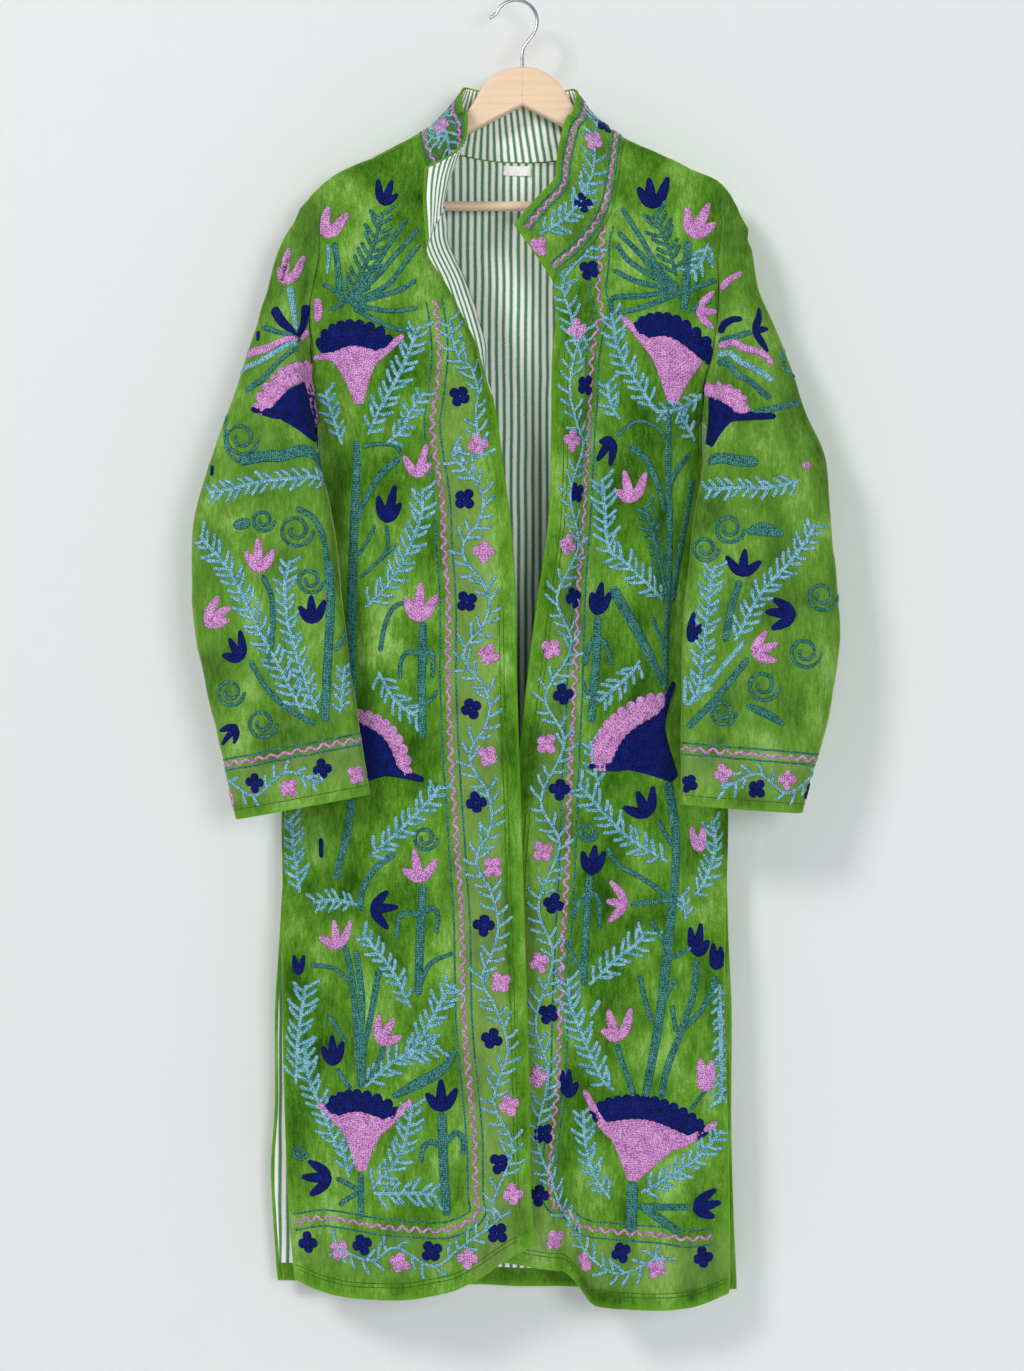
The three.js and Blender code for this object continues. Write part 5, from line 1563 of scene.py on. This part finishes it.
RIGHT_VINE = """
460,396n 478,445p 464,499n 484,551p 467,602n 488,655p 471,708n 488,756p 476,803n 492,867p 484,925n
501,983p 491,1039n 509,1105p 500,1164n 513,1195p 497,1233n 468,1258p 432,1252n 399,1263p 362,1244n
340,1250p 308,1243n
"""
LEFT_VINE = """
590,270n 577,330p 585,385n 573,440p 577,493n 568,545p 573,597n 552,649p 563,695n 546,744p 560,789n
543,852p 553,904n 539,962p 549,1014n 537,1078p 543,1134n 539,1195n 556,1240p 584,1262p 621,1252n
657,1268p 703,1258n
"""
COLORS = {"n": "navy", "p": "pink"}  # the last letter of a vine's flower


def pixels(text):
    return [tuple(map(float, word.split(","))) for word in text.split()]


def flowers(sewing, text):
    found = []
    for word in text.split():
        x, y = word[:-1].split(",")
        found.append((*sewing.cast(float(x), float(y)), COLORS[word[-1]]))
    return found


def along_edge(sewing, distance, columns, from_end=True):
    """Places at a distance in mm from the last row (or first), for a run of columns."""
    down = spread(sewing.points, 0)
    down = down[-1:] - down if from_end else down
    rows = np.arange(sewing.height, dtype=float)
    out = []
    for j in columns:
        column = down[:, int(round(j)) % sewing.width]
        order = np.argsort(column)
        out.append((np.interp(distance, column[order], rows[order]), j))
    return out


def down_edge(sewing, distance, rows):
    """Places at a distance in mm in from the cloth's first column, for a run of rows."""
    across = spread(sewing.points, 1)
    columns = np.arange(sewing.width, dtype=float)
    return [(i, np.interp(distance, across[int(round(i))], columns)) for i in rows]


def turns(sewing, places, first="navy", swing=8.0):
    """Flowers on alternate sides of a line, in alternate colours."""
    colors = ["navy", "pink"] if first == "navy" else ["pink", "navy"]
    out = []
    for k, place in enumerate(places):
        aside = np.array([[0, 0, swing if k % 2 else -swing]])
        out.append((*sewing.move(np.array([place]), aside)[0], colors[k % 2]))
    return out


def topstitch(sewing, *lines):
    """Rows of the maker's green stitches, each a list of places."""
    for line in lines:
        sewing.stroke("green", line, width=1.2, height=0.35)


def sew_fronts():
    right, left = Sewing("right_front", RIGHT_FRONT), Sewing("left_front", LEFT_FRONT)
    right.draw(RIGHT_FRONT_SEWING)
    left.draw(LEFT_FRONT_SEWING)
    right.border([right.cast(*p) for p in pixels(RIGHT_BORDER)])
    left.border([left.cast(*p) for p in pixels(LEFT_BORDER)])
    for sewing, vine, start in (
            (right, RIGHT_VINE, "450,318 453,340 460,360 474,374"),
            (left, LEFT_VINE, "594,246 578,262")):
        begin = [sewing.cast(*p) for p in pixels(start)]
        sewing.vine("blue", flowers(sewing, vine), start=begin)
    for sewing, first_row in ((right, 90), (left, 36)):
        rows = np.linspace(first_row, sewing.height - 8, 30)
        edges = np.linspace(8, sewing.width - 3, 16)
        topstitch(sewing, *(down_edge(sewing, d, rows) for d in STITCH_LINES),
                  *(along_edge(sewing, d, edges) for d in STITCH_LINES))
    return {"right_front": right.finish(), "left_front": left.finish()}


def sew_back():
    sewing = Sewing("back", BACK)
    sewing.behind = True
    for table in (RIGHT_FRONT_SEWING, LEFT_FRONT_SEWING, BACK_MIDDLE_SEWING):
        sewing.draw(table)
    last = sewing.width - 1
    edges = np.linspace(3, last - 3, 24)
    topstitch(sewing, *(along_edge(sewing, d, edges) for d in STITCH_LINES))
    sewing.border(along_edge(sewing, 74, np.linspace(2, last - 2, 40)))
    spots = along_edge(sewing, 42, np.linspace(6, last - 6, 15))
    sewing.vine("blue", turns(sewing, spots))
    return {"back": sewing.finish()}


def sew_sleeve(name, cloth, table, first):
    sewing = Sewing(name, cloth)
    sewing.draw(table)
    sewing.behind = True
    sewing.draw(table)
    last = sewing.width - 1
    sewing.border(along_edge(sewing, 55, np.linspace(0.5, last - 0.5, 30)), half=5.6, swing=2.2)
    topstitch(sewing, along_edge(sewing, 9, np.linspace(0.5, last - 0.5, 24)))
    spots = along_edge(sewing, 27, np.linspace(3, last - 4, 9))
    sewing.vine("blue", turns(sewing, spots, first, 6.0), size=20, leaf=9)
    return {name: sewing.finish()}


def sew_collar():
    sewing = Sewing("collar", COLLAR)
    across = np.linspace(2, sewing.width - 3, 60)
    for distance, from_end in ((11, True), (10, False)):
        rail = along_edge(sewing, distance, across, from_end)
        sewing.border(rail, half=4.2, swing=2.0, period=11)
    share = [sewing.cast(x, y)[1] for x, y in pixels("440,130 597,147 575,190 541,257")]
    between = np.linspace(share[0], share[1], 7)
    middle = sewing.height * 0.46
    spots = [(middle, j) for j in (share[0] * 0.45, *between[:-1], *share[1:])]
    sewing.vine("blue", turns(sewing, spots, "navy", 5.0), size=21, leaf=11, sway=2.0,
                start=[(sewing.height * 0.5, 4.0)])
    sewing.fern("blue", 11, *pixels("590,182 578,205 560,222 540,234"))
    return {"collar": sewing.finish()}


STITCHES = {
    **sew_fronts(), **sew_back(), **sew_collar(),
    **sew_sleeve("right_sleeve", RIGHT_SLEEVES, RIGHT_SLEEVE_SEWING, "pink"),
    **sew_sleeve("left_sleeve", LEFT_SLEEVES, LEFT_SLEEVE_SEWING, "navy")}
for name, made in STITCHES.items():
    for piece in made:
        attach(piece, "root")


# ---- Hanger ----
DOME = ((0.6, 0.55), (0.3, 0.88))  # steps past a tube's end and the widths there, in radii


def tube(name, line, radius, sides, material):
    """A closed tube with domed ends along a line that lies in the hanger's plane."""
    line = np.asarray(line, float)
    along = unit(np.gradient(line, axis=0))
    side = np.array([0, 1.0, 0])
    up = np.cross(along, side)
    stations = [(line[0] - along[0] * radius * s, up[0], r) for s, r in DOME]
    stations += [(p, u, 1.0) for p, u in zip(line, up)]
    stations += [(line[-1] + along[-1] * radius * s, up[-1], r) for s, r in DOME[::-1]]
    turn = np.linspace(0, 2 * np.pi, sides, endpoint=False)[:, None]
    rings = [p + radius * r * (np.cos(turn) * side + np.sin(turn) * u) for p, u, r in stations]
    return new_object(name, np.concatenate(rings), tube_faces(len(rings), sides), [material])


def make_yoke(material):
    """The yoke's outline from the middle to the right, mirrored, with rounded long edges."""
    radius, half = 50, 43.0  # of the arch under the hook
    arch = [[x, -116.8 + math.sqrt(radius**2 - x * x)] for x in np.linspace(0, half, 14)[:-1]]
    top = [[43, -91.3], [54, -109], [76, -130], [90, -142], [106, -152], [153, -166.2],
           [181, -178.6], [196, -185.5], [201, -192]]
    tip = [[204, -204], [198, -215], [187, -219], [177, -215], [168, -194.5]]
    low = [[168, -194.5], [106, -163], [54, -134], [0, -106]]
    right = np.concatenate([arch, smooth_line([*top, *tip], 3)[:-1], smooth_line(low, 6)])
    outline = np.concatenate([right, (right * [-1, 1])[-2:0:-1]])
    away = np.roll(outline, -1, 0) - np.roll(outline, 1, 0)
    inward = unit(np.stack([away[:, 1], -away[:, 0]], 1))
    thick, bevel = 6.5, 3.4
    rings = [(bevel * (1 - np.cos(turn)), thick - bevel * (1 - np.sin(turn)))
             for turn in np.linspace(0, np.pi / 2, 6)]
    layers = [(i, -y) for i, y in reversed(rings)] + rings
    points = []
    for inset, y in layers:
        ring = outline + inward * inset
        points.append(np.stack([ring[:, 0] + HANGER_X, np.full(len(ring), y), ring[:, 1]], 1))
    faces = tube_faces(len(layers), len(outline))
    return new_object("yoke", np.concatenate(points), faces, [material])


def hook_line():
    """The wire from its free tip, round the arc and down into the yoke."""
    points, radius = [(-26, 0, -16.5)], 21.75
    for degrees in range(158, -33, -19):
        angle = math.radians(degrees)
        points.append((radius * math.cos(angle), 0, -20 + radius * math.sin(angle)))
    points += [(12.4, 0, -39.5), (8, 0, -46.5)]
    return points + [(HANGER_X, 0, z) for z in (-54, -66, -82)]


WOOD = beech()
YOKE = make_yoke(WOOD)
BAR = tube("bar", [(HANGER_X + x, 0, -208) for x in np.linspace(-183, 183, 30)], 4.85, 32, WOOD)
HOOK = tube("hook", smooth_line(hook_line(), 5), 1.75, 20, chrome())

# ---- What each piece stands for ----
STANDS_FOR = {
    "right_front": ["right_front", "right_front_side"],
    "left_front": ["left_front", "left_front_side"],
    "back": ["back"], "collar": ["collar"],
    "right_sleeve": ["right_sleeve", "right_sleeve_lower"],
    "left_sleeve": ["left_sleeve", "left_sleeve_lower"]}
for name, piece in VISIBLE.items():
    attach(piece, "root")
    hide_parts(*STANDS_FOR[name])
for name, piece in LININGS.items():
    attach(piece, "root")
    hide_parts(name)
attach(LABEL, "root")
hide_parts("neck_label")
for piece, node, slot in (
        (YOKE, "hanger_wood", "beech"), (BAR, "hanger_bar", "beech"),
        (HOOK, "hanger_hook", "wire")):
    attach(piece, "root")
    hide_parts(node)


# ---- Stage, light and camera ----
def plane(name, corners, material):
    mesh = bpy.data.meshes.new(name)
    mesh.from_pydata(corners, [], [(0, 1, 2, 3)])
    mesh.materials.append(material)
    made = bpy.data.objects.new(name, mesh)
    bpy.context.scene.collection.objects.link(made)
    return made


def wall_material():
    """Seen only from the front, so that views from behind aren't blocked."""
    made = bpy.data.materials.new("wall")
    made.use_nodes = True
    tree = made.node_tree
    shader, out = tree.nodes["Principled BSDF"], tree.nodes["Material Output"]
    shader.inputs["Base Color"].default_value = (*rgb(221, 223, 224), 1)
    shader.inputs["Roughness"].default_value = 0.95
    clear = tree.nodes.new("ShaderNodeBsdfTransparent")
    pick = tree.nodes.new("ShaderNodeMixShader")
    side = tree.nodes.new("ShaderNodeNewGeometry")
    tree.links.new(side.outputs["Backfacing"], pick.inputs[0])
    tree.links.new(shader.outputs[0], pick.inputs[1])
    tree.links.new(clear.outputs[0], pick.inputs[2])
    tree.links.new(pick.outputs[0], out.inputs["Surface"])
    return made


WALL = wall_material()
WIDE_ROOM, WALL_Y, NEAR_Y, FLOOR_Z, TOP_Z = 3, 0.045, -4, -1.6, 1.4  # in metres
BACKDROP = plane("backdrop", [
    (-WIDE_ROOM, WALL_Y, FLOOR_Z), (WIDE_ROOM, WALL_Y, FLOOR_Z),
    (WIDE_ROOM, WALL_Y, TOP_Z), (-WIDE_ROOM, WALL_Y, TOP_Z)], WALL)
BACKDROP.visible_shadow = False
plane("floor", [
    (-WIDE_ROOM, NEAR_Y, FLOOR_Z), (WIDE_ROOM, NEAR_Y, FLOOR_Z),
    (WIDE_ROOM, WALL_Y, FLOOR_Z), (-WIDE_ROOM, WALL_Y, FLOOR_Z)], WALL)


def area_light(name, where, toward, size, power, color=(1, 1, 1)):
    data = bpy.data.lights.new(name, "AREA")
    data.shape, data.size, data.energy, data.color = "SQUARE", size, power, color
    made = bpy.data.objects.new(name, data)
    made.location = where
    made.rotation_euler = (Vector(toward) - Vector(where)).to_track_quat("-Z", "Y").to_euler()
    bpy.context.scene.collection.objects.link(made)


# In metres and watts
area_light("key", (-2.3, -3.1, 1.7), (0.1, 0, -0.7), 1.0, 92, (1, 0.985, 0.96))
area_light("fill", (1.3, -3.6, -0.3), (0.1, 0, -0.8), 1.2, 46, (0.98, 0.99, 1))
area_light("behind", (0.9, 2.4, 0.5), (0, 0, -0.7), 1.6, 90)

world = bpy.data.worlds.new("room")
bpy.context.scene.world = world
world.use_nodes = True
world.node_tree.nodes["Background"].inputs["Color"].default_value = (*rgb(238, 240, 242), 1)
world.node_tree.nodes["Background"].inputs["Strength"].default_value = 0.4

camera = bpy.data.cameras.new("camera")
# The lens is FOCAL pixels on a picture 1371 pixels high
camera.sensor_fit, camera.sensor_height, camera.lens = "VERTICAL", 36, 60.394
camera.clip_start, camera.clip_end = 0.05, 30
eye = bpy.data.objects.new("camera", camera)
eye.location = EYE * MM
eye.rotation_euler = (math.pi / 2, 0, 0)
bpy.context.scene.collection.objects.link(eye)
bpy.context.scene.camera = eye
bpy.context.scene.view_settings.view_transform = "Standard"
